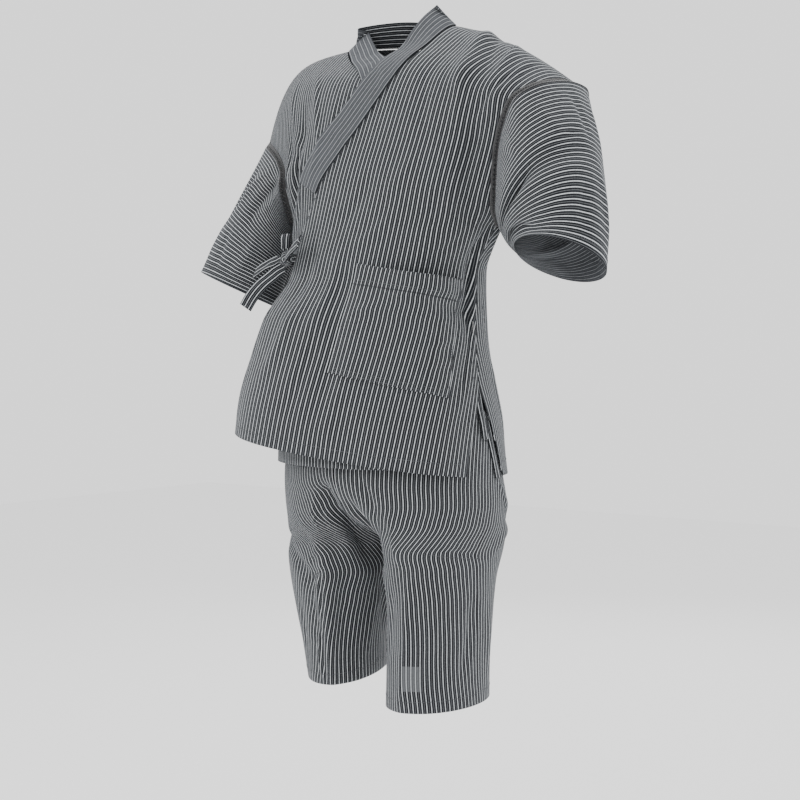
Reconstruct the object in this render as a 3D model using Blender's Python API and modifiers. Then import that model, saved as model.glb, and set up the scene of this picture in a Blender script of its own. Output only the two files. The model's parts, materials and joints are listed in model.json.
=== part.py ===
"""Jinbei set, worn: a wrapped jacket with short wide sleeves, and knee-length shorts.

Metres, +Z up. The front faces -Y and the left side of the set is at +X. The origin is the
point between the shoulders that the set hangs from. Each panel is a thin wall on a surface
worked out from a table of stations, and its folds are rows of a second table.
"""

import math

import bmesh
import bpy
import numpy as np

WALL = 0.0016
LACE_WALL = 0.0012
COLLAR_WALL = 0.0022
SEAM_GAP = 0.0003
OVERLAP_LIFT = 0.0078
COLLAR_LIFT = 0.0032
POCKET_LIFT = 0.0042
LACE_WIDTH = 0.0100
LACE_CLEAR = 0.0013
LACE_PITCH = 0.0140
COLLAR_WIDTH = 0.0410
POCKET_WIDTH = 0.1480
POCKET_HEIGHT = 0.1620
SLEEVE_RADIUS = 0.0740
TIE_WALL = 0.0018

CLOTH_COLOUR = (0.055, 0.060, 0.070, 1.0)
LACE_COLOUR = (0.012, 0.012, 0.014, 1.0)
CLOTH_ROUGHNESS = 0.9

# Stations of the jacket body, from the front hem over the shoulder to the back hem.
# mid is the centre line; left and right are the side seam, and the armhole above it.
# turn is how far the section turns from the centre to the side, in degrees.
BODY_COLUMNS = (
    "x_mid", "y_mid", "z_mid", "x_left", "y_left", "z_left", "x_right", "y_right", "z_right", "turn",
)
BODY_ROWS = {
    "front hem": (-0.008, -0.147, -0.618, 0.172, 0.000, -0.618, 0.174, 0.000, -0.618, 90),
    "front hip": (-0.010, -0.143, -0.565, 0.166, 0.000, -0.565, 0.172, 0.000, -0.565, 90),
    "front slit": (-0.012, -0.134, -0.495, 0.156, 0.000, -0.495, 0.163, 0.000, -0.495, 90),
    "front pocket": (-0.012, -0.126, -0.430, 0.151, 0.000, -0.430, 0.156, 0.000, -0.430, 90),
    "front waist": (-0.011, -0.117, -0.350, 0.152, 0.000, -0.350, 0.150, 0.000, -0.350, 90),
    "front under arm": (-0.006, -0.117, -0.288, 0.178, 0.000, -0.285, 0.160, 0.000, -0.300, 90),
    "front armpit": (0.000, -0.115, -0.230, 0.196, -0.046, -0.256, 0.149, -0.054, -0.262, 72),
    "chest": (0.005, -0.107, -0.160, 0.208, -0.062, -0.180, 0.139, -0.086, -0.213, 60),
    "upper chest": (0.010, -0.086, -0.085, 0.234, -0.074, -0.122, 0.154, -0.082, -0.186, 48),
    "collarbone": (0.015, -0.048, -0.046, 0.252, -0.042, -0.098, 0.200, -0.058, -0.162, 42),
    "ridge": (0.015, 0.000, -0.017, 0.257, 0.015, -0.090, 0.228, -0.020, -0.155, 42),
    "nape": (0.015, 0.055, -0.036, 0.252, 0.062, -0.096, 0.218, 0.022, -0.162, 42),
    "blade": (0.010, 0.090, -0.086, 0.236, 0.090, -0.124, 0.190, 0.064, -0.190, 48),
    "back": (0.005, 0.103, -0.160, 0.216, 0.086, -0.184, 0.166, 0.074, -0.215, 60),
    "back armpit": (0.000, 0.106, -0.230, 0.196, 0.052, -0.256, 0.156, 0.046, -0.262, 72),
    "back under arm": (-0.006, 0.104, -0.288, 0.178, 0.000, -0.285, 0.160, 0.000, -0.300, 90),
    "back waist": (-0.011, 0.101, -0.350, 0.152, 0.000, -0.350, 0.150, 0.000, -0.350, 90),
    "back pocket": (-0.012, 0.114, -0.430, 0.151, 0.000, -0.430, 0.156, 0.000, -0.430, 90),
    "back slit": (-0.012, 0.130, -0.495, 0.156, 0.000, -0.495, 0.163, 0.000, -0.495, 90),
    "back hip": (-0.010, 0.143, -0.565, 0.166, 0.000, -0.565, 0.172, 0.000, -0.565, 90),
    "back hem": (-0.008, 0.148, -0.632, 0.173, 0.000, -0.632, 0.176, 0.000, -0.632, 90),
}
STATIONS = list(BODY_ROWS)
UNDER_ARM = STATIONS.index("front under arm")
RIDGE = STATIONS.index("ridge")
BACK_UNDER_ARM = STATIONS.index("back under arm")
LAST = len(STATIONS) - 1
SHOULDER_TILT = 0.036
SHOULDER_FLAT = 0.28
SHOULDER_FALL = {"left": 1.15, "right": 5.5}

# How far each panel reaches round the body at each station, from -1 at the right side seam
# to 1 at the left one. The free edge is a fraction past the centre front. flare is how far
# the outer front's free edge stands out, and slant how much higher it is than at the side.
REACH_COLUMNS = ("left_edge", "left_side", "right_edge", "right_side", "flare", "slant", "lift")
REACH_ROWS = {
    "front hem": (-0.60, 0.80, 0.50, -0.93, 0.054, 0.050, 1.0),
    "front hip": (-0.58, 0.88, 0.50, -0.97, 0.050, 0.038, 1.0),
    "front slit": (-0.53, 1.00, 0.50, -1.00, 0.042, 0.022, 1.0),
    "front pocket": (-0.47, 1.00, 0.50, -1.00, 0.034, 0.010, 1.0),
    "front waist": (-0.38, 1.00, 0.50, -1.00, 0.006, 0.000, 1.0),
    "front under arm": (-0.28, 1.00, 0.50, -1.00, 0.000, 0.000, 1.0),
    "front armpit": (-0.22, 1.00, 0.42, -1.00, 0.000, 0.000, 1.0),
    "chest": (0.040, 1.00, 0.25, -1.00, 0.000, 0.000, 1.0),
    "upper chest": (0.230, 1.00, 0.00, -1.00, 0.000, 0.000, 1.0),
    "collarbone": (0.300, 1.00, -0.27, -1.00, 0.000, 0.000, 0.6),
    "ridge": (0.320, 1.00, -0.38, -1.00, 0.000, 0.000, 0.0),
    "nape": (0.001, 1.00, -0.001, -1.00, 0.000, 0.000, 0.0),
    "blade": (0.001, 1.00, -0.001, -1.00, 0.000, 0.000, 0.0),
    "back": (0.001, 1.00, -0.001, -1.00, 0.000, 0.000, 0.0),
    "back armpit": (0.001, 1.00, -0.001, -1.00, 0.000, 0.000, 0.0),
    "back under arm": (0.001, 1.00, -0.001, -1.00, 0.000, 0.000, 0.0),
    "back waist": (0.001, 1.00, -0.001, -1.00, 0.000, 0.000, 0.0),
    "back pocket": (0.001, 1.00, -0.001, -1.00, 0.000, 0.000, 0.0),
    "back slit": (0.001, 1.00, -0.001, -1.00, 0.000, 0.000, 0.0),
    "back hip": (0.001, 0.92, -0.001, -0.96, 0.000, 0.000, 0.0),
    "back hem": (0.001, 0.84, -0.001, -0.92, 0.000, 0.000, 0.0),
}

# The body's largest folds: a line from one place to another, in reach and station, with its
# half width and its height in metres. A height below zero is a trough.
BODY_FOLD_COLUMNS = ("p0", "t0", "p1", "t1", "half_width", "height")
BODY_FOLDS = (
    (0.50, 10.0, 0.66, 7.9, 0.014, 0.007),
    (0.74, 9.9, 0.92, 7.6, 0.014, 0.006),
    (0.86, 7.2, 0.72, 5.2, 0.016, -0.012),
    (0.92, 4.9, 0.93, 2.9, 0.012, -0.010),
    (0.10, 4.2, 0.02, 1.0, 0.016, -0.006),
    (0.55, 5.0, 0.50, 3.9, 0.018, 0.006),
    (0.96, 3.3, 0.60, 3.5, 0.012, -0.006),
    (-0.66, 7.9, -0.72, 5.6, 0.014, -0.008),
    (-0.90, 4.6, -0.86, 2.4, 0.016, -0.008),
    (0.86, 12.8, 0.66, 15.6, 0.018, -0.012),
    (-0.86, 12.8, -0.64, 15.6, 0.018, -0.012),
    (0.44, 15.4, 0.52, 19.6, 0.018, -0.005),
    (-0.40, 15.6, -0.50, 19.4, 0.018, -0.005),
    (0.30, 13.0, 0.62, 11.4, 0.016, 0.005),
    (-0.28, 13.2, -0.60, 11.6, 0.016, 0.005),
)
CHART_WIDTH = 0.21
# The grid of each body panel: its columns, and how many rows lead up to each station.
BODY_COLUMNS_COUNT = 13
ROW_STATIONS = (0, 4, UNDER_ARM, RIDGE, 11, BACK_UNDER_ARM, 16, LAST)
ROW_COUNTS = (0, 6, 8, 20, 24, 34, 36, 42)

# Sleeves: the middle ring and the cuff, each a centre, an outward vector and a forward one,
# and which way the lace leads from the armhole, under the arm and over it.
RING_COLUMNS = ("centre", "outward", "forward")
SLEEVE_RINGS = {
    "left": {
        "middle": ((0.2635, 0.006, -0.260), (0.0640, 0.004, 0.054), (0.006, -0.086, 0.025)),
        "cuff": ((0.269, 0.015, -0.331), (0.950, 0.000, -0.100), (0.240, -0.880, 0.410)),
        "lace": ((0.95, 0.0, -0.30), (0.80, 0.0, -0.60)),
    },
    "right": {
        "middle": ((-0.225, -0.018, -0.290), (-0.040, -0.005, 0.040), (0.030, -0.080, 0.026)),
        "cuff": ((-0.268, -0.030, -0.375), (-0.950, 0.000, 0.310), (0.250, -0.940, 0.232)),
        "lace": ((-1.0, 0.0, 0.05), (-0.60, 0.0, -0.80)),
    },
}
# Sleeve folds: from one place to another, in turns round from the underarm seam and in the
# share of the way to the cuff.
SLEEVE_FOLD_COLUMNS = ("w0", "v0", "w1", "v1", "half_width", "height")
SLEEVE_FOLDS = {
    "left": (
        (0.10, 0.50, 0.46, 0.44, 0.015, -0.013),
        (0.06, 0.78, 0.22, 0.86, 0.012, -0.010),
        (0.90, 0.55, 0.66, 0.60, 0.015, -0.009),
    ),
    "right": (
        (0.20, 0.02, 0.24, 0.55, 0.012, -0.010),
        (0.92, 0.45, 0.72, 0.62, 0.014, -0.008),
    ),
}
SLEEVE_CHART = 0.46
SLEEVE_LENGTH = 0.25

# Stations of the shorts, from the leg hem to the waist. half_width, front and back are the
# hip's section, x, y, across and along the leg's ring, and hip is how much of the hip's
# section a station has.
SHORTS_COLUMNS = ("z", "half_width", "front", "back", "x", "y", "across", "along", "hip")
SHORTS_ROWS = {
    "left": (
        (-0.950, 0.168, 0.138, 0.140, 0.094, -0.026, 0.066, 0.082, 0.0),
        (-0.900, 0.168, 0.138, 0.140, 0.092, -0.022, 0.065, 0.083, 0.0),
        (-0.840, 0.168, 0.138, 0.140, 0.089, -0.014, 0.066, 0.085, 0.0),
        (-0.780, 0.168, 0.138, 0.142, 0.086, -0.008, 0.071, 0.088, 0.0),
        (-0.735, 0.168, 0.138, 0.144, 0.085, -0.002, 0.077, 0.100, 0.12),
        (-0.680, 0.168, 0.137, 0.144, 0.086, 0.004, 0.083, 0.120, 0.80),
        (-0.620, 0.165, 0.133, 0.130, 0.086, 0.004, 0.085, 0.130, 1.0),
        (-0.540, 0.1480, 0.116, 0.108, 0.086, 0.004, 0.085, 0.130, 1.0),
        (-0.430, 0.122, 0.096, 0.084, 0.086, 0.004, 0.085, 0.130, 1.0),
    ),
    "right": (
        (-0.938, 0.168, 0.138, 0.140, -0.096, 0.010, 0.056, 0.088, 0.0),
        (-0.890, 0.168, 0.138, 0.140, -0.099, 0.008, 0.060, 0.088, 0.0),
        (-0.840, 0.168, 0.138, 0.140, -0.100, 0.006, 0.068, 0.090, 0.0),
        (-0.780, 0.168, 0.138, 0.142, -0.097, 0.004, 0.079, 0.100, 0.0),
        (-0.735, 0.170, 0.138, 0.144, -0.092, 0.003, 0.085, 0.114, 0.15),
        (-0.680, 0.172, 0.137, 0.144, -0.088, 0.004, 0.087, 0.124, 0.80),
        (-0.620, 0.168, 0.133, 0.130, -0.086, 0.004, 0.085, 0.130, 1.0),
        (-0.540, 0.152, 0.116, 0.108, -0.086, 0.004, 0.085, 0.130, 1.0),
        (-0.430, 0.126, 0.096, 0.084, -0.086, 0.004, 0.085, 0.130, 1.0),
    ),
}
HALF_SEAM = 0.0010
HIP_SHIFT = -0.006
LEG_YAW = {"left": 0.0, "right": 22.0}
HEM_RISE = {"left": 0.08, "right": 0.16}
SHORTS_FOLD_COLUMNS = ("w0", "h0", "w1", "h1", "half_width", "height")
SHORTS_FOLDS = {
    "left": (
        (0.02, 5.2, 0.12, 3.6, 0.016, -0.012),
        (0.96, 5.4, 0.80, 3.4, 0.018, -0.012),
        (0.25, 0.0, 0.27, 3.0, 0.014, 0.006),
        (0.62, 4.9, 0.76, 2.6, 0.016, -0.009),
    ),
    "right": (
        (0.03, 5.6, 0.13, 3.4, 0.018, -0.016),
        (0.24, 0.0, 0.24, 4.4, 0.012, 0.010),
        (0.46, 4.4, 0.30, 3.0, 0.014, -0.010),
        (0.96, 5.4, 0.80, 3.4, 0.018, -0.012),
    ),
}
SHORTS_CHART = 0.52
WAISTBAND_HEIGHT = 0.030

# The collar: how far along the stations each end lies, and how the band stands up round the neck.
COLLAR_LOW = {"left": 5.86, "right": 5.60}
COLLAR_LAP = 0.002
COLLAR_CLEAR = 0.0024
COLLAR_STAND = {"shoulder": 43.0, "back": 74.0}
NECK_STATION = STATIONS.index("nape")

# The pocket: its middle on the outer front, its tilt, and how far its top edge gapes.
POCKET_MIDDLE = (0.440, 0.192)
POCKET_TILT = 9.0
POCKET_GAPE = 0.016

# Ties: each a route of its middle line, the direction of its width and its width.
KNOT_MIDDLE = (-0.1150, -0.1050, -0.329)
KNOT_RADII = (0.010, 0.008, 0.011)
TIES = {
    "tie_strap_edge": (
        ((-0.0952, -0.1098, -0.3285), (-0.0998, -0.1085, -0.3285), (-0.1046, -0.1068, -0.329)),
        (0.35, -0.06, 0.93), 0.012),
    "tie_strap_side": (
        ((-0.1222, -0.0988, -0.330), (-0.137, -0.080, -0.331), (-0.153, -0.050, -0.332),
         (-0.1614, -0.010, -0.332)),
        (0.02, 0.02, 1.00), 0.014),
    "tie_loop_up": (
        ((-0.1150, -0.1055, -0.3172), (-0.113, -0.110, -0.306), (-0.106, -0.116, -0.297),
         (-0.100, -0.123, -0.296), (-0.099, -0.127, -0.303), (-0.104, -0.122, -0.314)),
        (0.80, 0.60, 0.10), 0.013),
    "tie_loop_side": (
        ((-0.1085, -0.1125, -0.326), (-0.090, -0.127, -0.319), (-0.070, -0.139, -0.309),
         (-0.056, -0.145, -0.303), (-0.054, -0.151, -0.308), (-0.073, -0.145, -0.319),
         (-0.094, -0.134, -0.330), (-0.1075, -0.1170, -0.3325)),
        (0.25, 0.10, 1.00), 0.012),
    "tie_tail_up": (
        ((-0.1255, -0.1080, -0.330), (-0.141, -0.110, -0.334), (-0.157, -0.110, -0.341),
         (-0.173, -0.109, -0.349)),
        (0.20, 0.25, 1.00), 0.016),
    "tie_tail_down": (
        ((-0.1180, -0.1090, -0.3392), (-0.126, -0.121, -0.352), (-0.139, -0.132, -0.366),
         (-0.151, -0.139, -0.382), (-0.160, -0.143, -0.398)),
        (0.75, 0.35, -0.55), 0.019),
    "inner_tie_short": (
        ((0.1394, 0.001, -0.478), (0.1415, 0.001, -0.505), (0.1462, 0.001, -0.533),
         (0.1518, 0.001, -0.557), (0.1552, 0.002, -0.580)),
        (0.00, 1.00, 0.05), 0.012),
    "inner_tie_long": (
        ((0.1447, 0.0140, -0.540), (0.1492, 0.0145, -0.560), (0.1550, 0.0170, -0.590),
         (0.1618, 0.0220, -0.634)),
        (-0.10, 0.99, 0.05), 0.012),
}


def steady(values, at):
    """A smooth line through the values of a table's column that never swings past them."""
    values = np.asarray(values, float)
    at = np.clip(np.asarray(at, float), 0, len(values) - 1)
    step = np.diff(values)
    slope = np.empty_like(values)
    slope[0] = step[0]
    slope[-1] = step[-1]
    product = step[:-1] * step[1:]
    total = step[:-1] + step[1:]
    safe = np.where(product > 0, total, 1.0)
    slope[1:-1] = np.where(product > 0, 2 * product / safe, 0.0)
    i = np.minimum(at.astype(int), len(values) - 2)
    f = at - i
    rise = step[i]
    return (
        values[i]
        + slope[i] * f
        + (3 * rise - 2 * slope[i] - slope[i + 1]) * f**2
        + (slope[i] + slope[i + 1] - 2 * rise) * f**3
    )


def smoothstep(x):
    x = np.clip(x, 0, 1)
    return x * x * (3 - 2 * x)


def station_column(rows, columns, name, t):
    """Reads a column in three stretches, so that the side seam stays straight up to the armpit."""
    k = columns.index(name)
    values = [row[k] for row in rows.values()]
    low = steady(values[: UNDER_ARM + 1], np.minimum(t, UNDER_ARM))
    mid = steady(values[UNDER_ARM : BACK_UNDER_ARM + 1], t - UNDER_ARM)
    high = steady(values[BACK_UNDER_ARM:], t - BACK_UNDER_ARM)
    return np.where(t <= UNDER_ARM, low, np.where(t <= BACK_UNDER_ARM, mid, high))


def body(name, t):
    return station_column(BODY_ROWS, BODY_COLUMNS, name, t)


def reach(name, t):
    return station_column(REACH_ROWS, REACH_COLUMNS, name, t)


def plain_body(p, t):
    """The jacket's surface without folds, as an array of points. p goes from side to side."""
    p, t = np.broadcast_arrays(np.asarray(p, float), np.asarray(t, float))
    s = np.abs(p)
    left = p >= 0
    turn = np.radians(body("turn", t))
    across = np.sin(turn * s) / np.sin(turn)
    depth = (np.cos(turn * s) - np.cos(turn)) / (1 - np.cos(turn))
    near = np.exp(-(((t - RIDGE) / 1.7) ** 2))
    steep = np.where(left, 1.0, near) * (SHOULDER_FALL["right"] - SHOULDER_FALL["left"])
    steep = SHOULDER_FALL["left"] + np.where(left, 0.0, steep)
    fall = np.clip((s - SHOULDER_FLAT) / (1 - SHOULDER_FLAT), 0, 1.2) ** steep
    side = {
        axis: np.where(left, body(axis + "_left", t), body(axis + "_right", t)) for axis in "xyz"
    }
    x = body("x_mid", t) + np.where(left, 1, -1) * side["x"] * across
    y = side["y"] + (body("y_mid", t) - side["y"]) * depth
    z_mid = body("z_mid", t)
    tilt = SHOULDER_TILT * p * np.exp(-(((t - RIDGE) / 1.6) ** 2)) * (1 - fall)
    z = z_mid + (side["z"] - z_mid) * fall + tilt
    return np.stack([x, y, z], -1)


def surface_normals(surface, a, b, step=0.004):
    along_a = surface(a + step, b) - surface(a - step, b)
    along_b = surface(a, b + step) - surface(a, b - step)
    normal = np.cross(along_a, along_b)
    return normal / np.maximum(np.linalg.norm(normal, axis=-1, keepdims=True), 1e-12)


def fold_height(a, b, folds):
    """The height of the folds at places in a flat chart, in metres. Each fold fades at its ends."""
    total = np.zeros(np.broadcast(a, b).shape)
    for a0, b0, a1, b1, half_width, height in folds:
        run = math.hypot(a1 - a0, b1 - b0)
        along = ((a - a0) * (a1 - a0) + (b - b0) * (b1 - b0)) / run
        off = ((a - a0) * (b1 - b0) - (b - b0) * (a1 - a0)) / run
        share = along / run
        fade = smoothstep((share + 0.15) / 0.4) * smoothstep((1.15 - share) / 0.4)
        total = total + height * fade * np.exp(-((off / half_width) ** 2))
    return total


def path_length(t):
    """The length along the body's surface at a third of its width, from the front hem."""
    places = np.linspace(0, LAST, 161)
    points = plain_body(np.full_like(places, 0.35), places)
    steps = np.linalg.norm(np.diff(points, axis=0), axis=1)
    return np.interp(t, places, np.concatenate([[0], np.cumsum(steps)]))


def body_folds(p, t):
    rows = [
        (p0 * CHART_WIDTH, float(path_length(t0)), p1 * CHART_WIDTH, float(path_length(t1)), width, height)
        for p0, t0, p1, t1, width, height in BODY_FOLDS
    ]
    return fold_height(p * CHART_WIDTH, path_length(t), rows)


def folded_body(p, t):
    p, t = np.broadcast_arrays(np.asarray(p, float), np.asarray(t, float))
    height = body_folds(p, t) * smoothstep((1 - np.abs(p)) / 0.06)
    return plain_body(p, t) + surface_normals(plain_body, p, t) * height[..., None]


def outer_front(p, t, over=0.0):
    """The outer front's surface: lifted off the inner front, slanted at the hem and flared."""
    p, t = np.broadcast_arrays(np.asarray(p, float), np.asarray(t, float))
    edge = reach("left_edge", t)
    side = reach("left_side", t)
    inward = (side - p) / (side - edge)
    normal = surface_normals(plain_body, p, t)
    lift = OVERLAP_LIFT * reach("lift", t) * smoothstep((0.86 - p) / 0.25)
    flare = reach("flare", t) * smoothstep((inward - 0.42) / 0.58)
    points = folded_body(p, t) + normal * (lift + flare + over)[..., None]
    points[..., 2] += reach("slant", t) * inward**1.3 - 0.010 * reach("slant", t) / 0.045
    return points


def left_at(j, t):
    """The left body half: j goes from its edge, or the centre back, to its side."""
    edge = reach("left_edge", t)
    side = reach("left_side", t) - 0.0008
    return outer_front(edge + (side - edge) * j, t)


def right_at(j, t):
    edge = reach("right_edge", t)
    side = reach("right_side", t) + 0.0008
    return folded_body(edge + (side - edge) * j, t)


def station_of_row(row):
    return np.interp(row, ROW_COUNTS, ROW_STATIONS)


def on_panel(side, j, t):
    """Points on the flat cells that a body panel's grid makes of its surface."""
    surface = left_at if side == "left" else right_at
    j, t = np.broadcast_arrays(np.asarray(j, float), np.asarray(t, float))
    column = np.clip(np.floor(j * BODY_COLUMNS_COUNT), 0, BODY_COLUMNS_COUNT - 1)
    rows = np.interp(t, ROW_STATIONS, ROW_COUNTS)
    row = np.clip(np.floor(rows + 1e-6), 0, ROW_COUNTS[-1] - 1)
    a = (j * BODY_COLUMNS_COUNT - column)[..., None]
    b = (rows - row)[..., None]
    near, far = column / BODY_COLUMNS_COUNT, (column + 1) / BODY_COLUMNS_COUNT
    low, high = station_of_row(row), station_of_row(row + 1)
    return (
        (surface(near, low) * (1 - a) + surface(far, low) * a) * (1 - b)
        + (surface(near, high) * (1 - a) + surface(far, high) * a) * b
    )


def armhole(side, w):
    """The body's armhole edge, from the underarm forward, over the top and down the back."""
    w = np.asarray(w, float)
    t = station_of_row(ROW_COUNTS[2] + (ROW_COUNTS[5] - ROW_COUNTS[2]) * w)
    return on_panel(side, np.ones_like(w), t)


def lace_direction(side, w):
    """The way from the body across the lace to the sleeve, square to the armhole's edge."""
    under, over = (np.array(v) for v in SLEEVE_RINGS[side]["lace"])
    share = smoothstep(np.minimum(w, 1 - w) / 0.22)[..., None]
    way = under * (1 - share) + over * share
    along = armhole(side, np.clip(w + 0.01, 0, 1)) - armhole(side, np.clip(w - 0.01, 0, 1))
    along /= np.linalg.norm(along, axis=-1, keepdims=True)
    way = way - 0.8 * share * along * (way * along).sum(-1, keepdims=True)
    t = station_of_row(ROW_COUNTS[2] + (ROW_COUNTS[5] - ROW_COUNTS[2]) * w)
    normal = surface_normals(plain_body, np.full_like(t, 0.97 if side == "left" else -0.97), t)
    way = way + normal * np.maximum(0.0, 0.35 - (way * normal).sum(-1, keepdims=True))
    return way / np.linalg.norm(way, axis=-1, keepdims=True)


def sleeve_ring(side, which, w):
    centre, outward, forward = (np.array(v) for v in SLEEVE_RINGS[side][which])
    scale = SLEEVE_RADIUS if which == "cuff" else 1.0
    angle = 2 * np.pi * np.asarray(w, float)[..., None]
    return centre + scale * (forward * np.sin(angle) - outward * np.cos(angle))


def plain_sleeve(side, w, v):
    w, v = np.broadcast_arrays(np.asarray(w, float), np.asarray(v, float))
    start = armhole(side, w) + lace_direction(side, w) * (LACE_WIDTH + 2 * LACE_CLEAR)
    middle = sleeve_ring(side, "middle", w)
    cuff = sleeve_ring(side, "cuff", w)
    v = v[..., None]
    return start * (1 - v) * (1 - 2 * v) + middle * 4 * v * (1 - v) + cuff * v * (2 * v - 1)


def sleeve_at(side, w, v):
    w, v = np.broadcast_arrays(np.asarray(w, float), np.asarray(v, float))
    rows = [
        (w0 * SLEEVE_CHART, v0 * SLEEVE_LENGTH, w1 * SLEEVE_CHART, v1 * SLEEVE_LENGTH, width, height)
        for w0, v0, w1, v1, width, height in SLEEVE_FOLDS[side]
    ]
    height = fold_height(w * SLEEVE_CHART, v * SLEEVE_LENGTH, rows) * smoothstep(v / 0.15)
    normal = surface_normals(lambda a, b: plain_sleeve(side, a, b), w, v)
    outward = -1 if side == "left" else 1
    return plain_sleeve(side, w, v) + normal * outward * height[..., None]


def shorts_column(side, name, h):
    k = SHORTS_COLUMNS.index(name)
    return steady([row[k] for row in SHORTS_ROWS[side]], h)


def plain_shorts(side, w, h):
    """One half of the shorts: w goes from the centre front or the front of the inseam, round
    the outside, to the centre back. h goes from the leg's hem to the waist."""
    w, h = np.broadcast_arrays(np.asarray(w, float), np.asarray(h, float))
    sign = 1 if side == "left" else -1
    angle = np.pi * w
    front = shorts_column(side, "front", h)
    back = shorts_column(side, "back", h)
    hip_x = sign * shorts_column(side, "half_width", h) * np.sin(angle)
    hip_y = np.where(w < 0.5, -front, -back) * np.cos(angle)
    turn = 2 * np.pi * w
    across = -shorts_column(side, "across", h) * np.cos(turn) * sign
    along = -shorts_column(side, "along", h) * np.sin(turn)
    yaw = math.radians(LEG_YAW[side])
    leg_x = shorts_column(side, "x", h) + across * math.cos(yaw) - along * math.sin(yaw)
    leg_y = shorts_column(side, "y", h) + across * math.sin(yaw) + along * math.cos(yaw)
    hip = shorts_column(side, "hip", h)
    x = hip_x * hip + leg_x * (1 - hip)
    x = sign * np.maximum(sign * x, HALF_SEAM) + HIP_SHIFT * hip
    y = hip_y * hip + leg_y * (1 - hip)
    z = shorts_column(side, "z", h) + HEM_RISE[side] * (y + 0.08) * (1 - smoothstep(h / 3))
    return np.stack([x, y, z], -1)


def shorts_at(side, w, h):
    w, h = np.broadcast_arrays(np.asarray(w, float), np.asarray(h, float))
    rows = [
        (w0 * SHORTS_CHART, h0 * 0.06, w1 * SHORTS_CHART, h1 * 0.06, width, height)
        for w0, h0, w1, h1, width, height in SHORTS_FOLDS[side]
    ]
    ends = smoothstep(w / 0.05) * smoothstep((1 - w) / 0.05)
    height = fold_height(w * SHORTS_CHART, h * 0.06, rows) * ends
    normal = surface_normals(lambda a, b: plain_shorts(side, a, b), w, h)
    outward = 1 if side == "left" else -1
    return plain_shorts(side, w, h) + normal * outward * height[..., None]


def material(name, colour):
    made = bpy.data.materials.new(name)
    made.use_nodes = True
    shader = made.node_tree.nodes["Principled BSDF"]
    shader.inputs["Base Color"].default_value = colour
    shader.inputs["Roughness"].default_value = CLOTH_ROUGHNESS
    shader.inputs["Metallic"].default_value = 0.0
    return made


def cloth_sheet(name, surface, columns, rows, wall, colour=CLOTH_COLOUR, holes=None):
    """A grid of columns x rows cells laid on a surface of (0..1, 0..1) and thickened."""
    shape = bmesh.new()
    bmesh.ops.create_grid(shape, x_segments=columns, y_segments=rows, size=0.5)
    shape.verts.ensure_lookup_table()
    places = np.array([vert.co[:2] for vert in shape.verts]) + 0.5
    points = surface(places[:, 0], places[:, 1])
    for vert, point in zip(shape.verts, points):
        vert.co = point
    if holes:
        cells = [
            face
            for face in shape.faces
            if holes(*(np.mean([places[v.index] for v in face.verts], axis=0) * (columns, rows)))
        ]
        bmesh.ops.delete(shape, geom=cells, context="FACES")
    mesh = bpy.data.meshes.new(name)
    shape.to_mesh(mesh)
    shape.free()
    mesh.shade_smooth()
    mesh.materials.append(material(name, colour))
    made = bpy.data.objects.new(name, mesh)
    parts.objects.link(made)
    thicken = made.modifiers.new("wall", "SOLIDIFY")
    thicken.thickness = wall
    thicken.offset = 0.0
    thicken.use_even_offset = False
    return made


def make_body():
    for name, surface in (("body_left", left_at), ("body_right", right_at)):
        cloth_sheet(
            name,
            lambda u, v, surface=surface: surface(u, station_of_row(v * ROW_COUNTS[-1])),
            BODY_COLUMNS_COUNT,
            ROW_COUNTS[-1],
            WALL,
        )


def make_sleeves():
    for side in ("left", "right"):
        cloth_sheet(
            "sleeve_" + side,
            lambda u, v, side=side: sleeve_at(side, 0.0012 + 0.9976 * u, v),
            ROW_COUNTS[5] - ROW_COUNTS[2],
            8,
            WALL,
        )


def make_lace():
    for side in ("left", "right"):
        loop = armhole(side, np.linspace(0, 1, 201))
        length = float(np.linalg.norm(np.diff(loop, axis=0), axis=1).sum())
        half = max(2, int(length / 2 / LACE_PITCH))
        edge = (LACE_WIDTH - 0.0056) / 2 / LACE_WIDTH
        across = np.array([0.0, edge, 1 - edge, 1.0])
        for part, low, high in (("front", 0.0020, 0.4993), ("back", 0.5007, 0.9980)):
            columns = 2 * half + 1

            def lace_at(u, v, side=side, low=low, high=high, columns=columns):
                bar = 0.36
                k = np.rint(u * columns)
                pairs = np.floor(k / 2)
                place = pairs + np.where(k % 2 == 1, bar, 0.0)
                w = low + (high - low) * place / (half + bar)
                step = np.interp(v, np.linspace(0, 1, 4), across)
                way = lace_direction(side, w)
                return armhole(side, w) + way * (LACE_CLEAR + LACE_WIDTH * step)[:, None]

            cloth_sheet(
                f"lace_{side}_{part}",
                lace_at,
                columns,
                3,
                LACE_WALL,
                LACE_COLOUR,
                holes=lambda a, b: int(a) % 2 == 1 and int(b) == 1,
            )


def make_shorts():
    for side in ("left", "right"):
        top = len(SHORTS_ROWS[side]) - 1
        cloth_sheet(
            "shorts_" + side,
            lambda u, v, side=side, top=top: shorts_at(side, u, v * top),
            22,
            17,
            WALL,
        )
    top = len(SHORTS_ROWS["left"]) - 1

    def band(u, v):
        """The casing runs from the centre back once round, as one strip."""
        turn = 0.0008 + 0.9984 * u
        left = turn >= 0.5
        points = np.where(
            left[:, None],
            plain_shorts("left", np.where(left, 2 * turn - 1, 0.5), np.full_like(turn, top)),
            plain_shorts("right", np.where(left, 0.5, 1 - 2 * turn), np.full_like(turn, top)),
        )
        points[:, 2] += WALL / 2 + SEAM_GAP + v * WAISTBAND_HEIGHT
        return points

    cloth_sheet("waistband", band, 40, 1, WALL)


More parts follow.
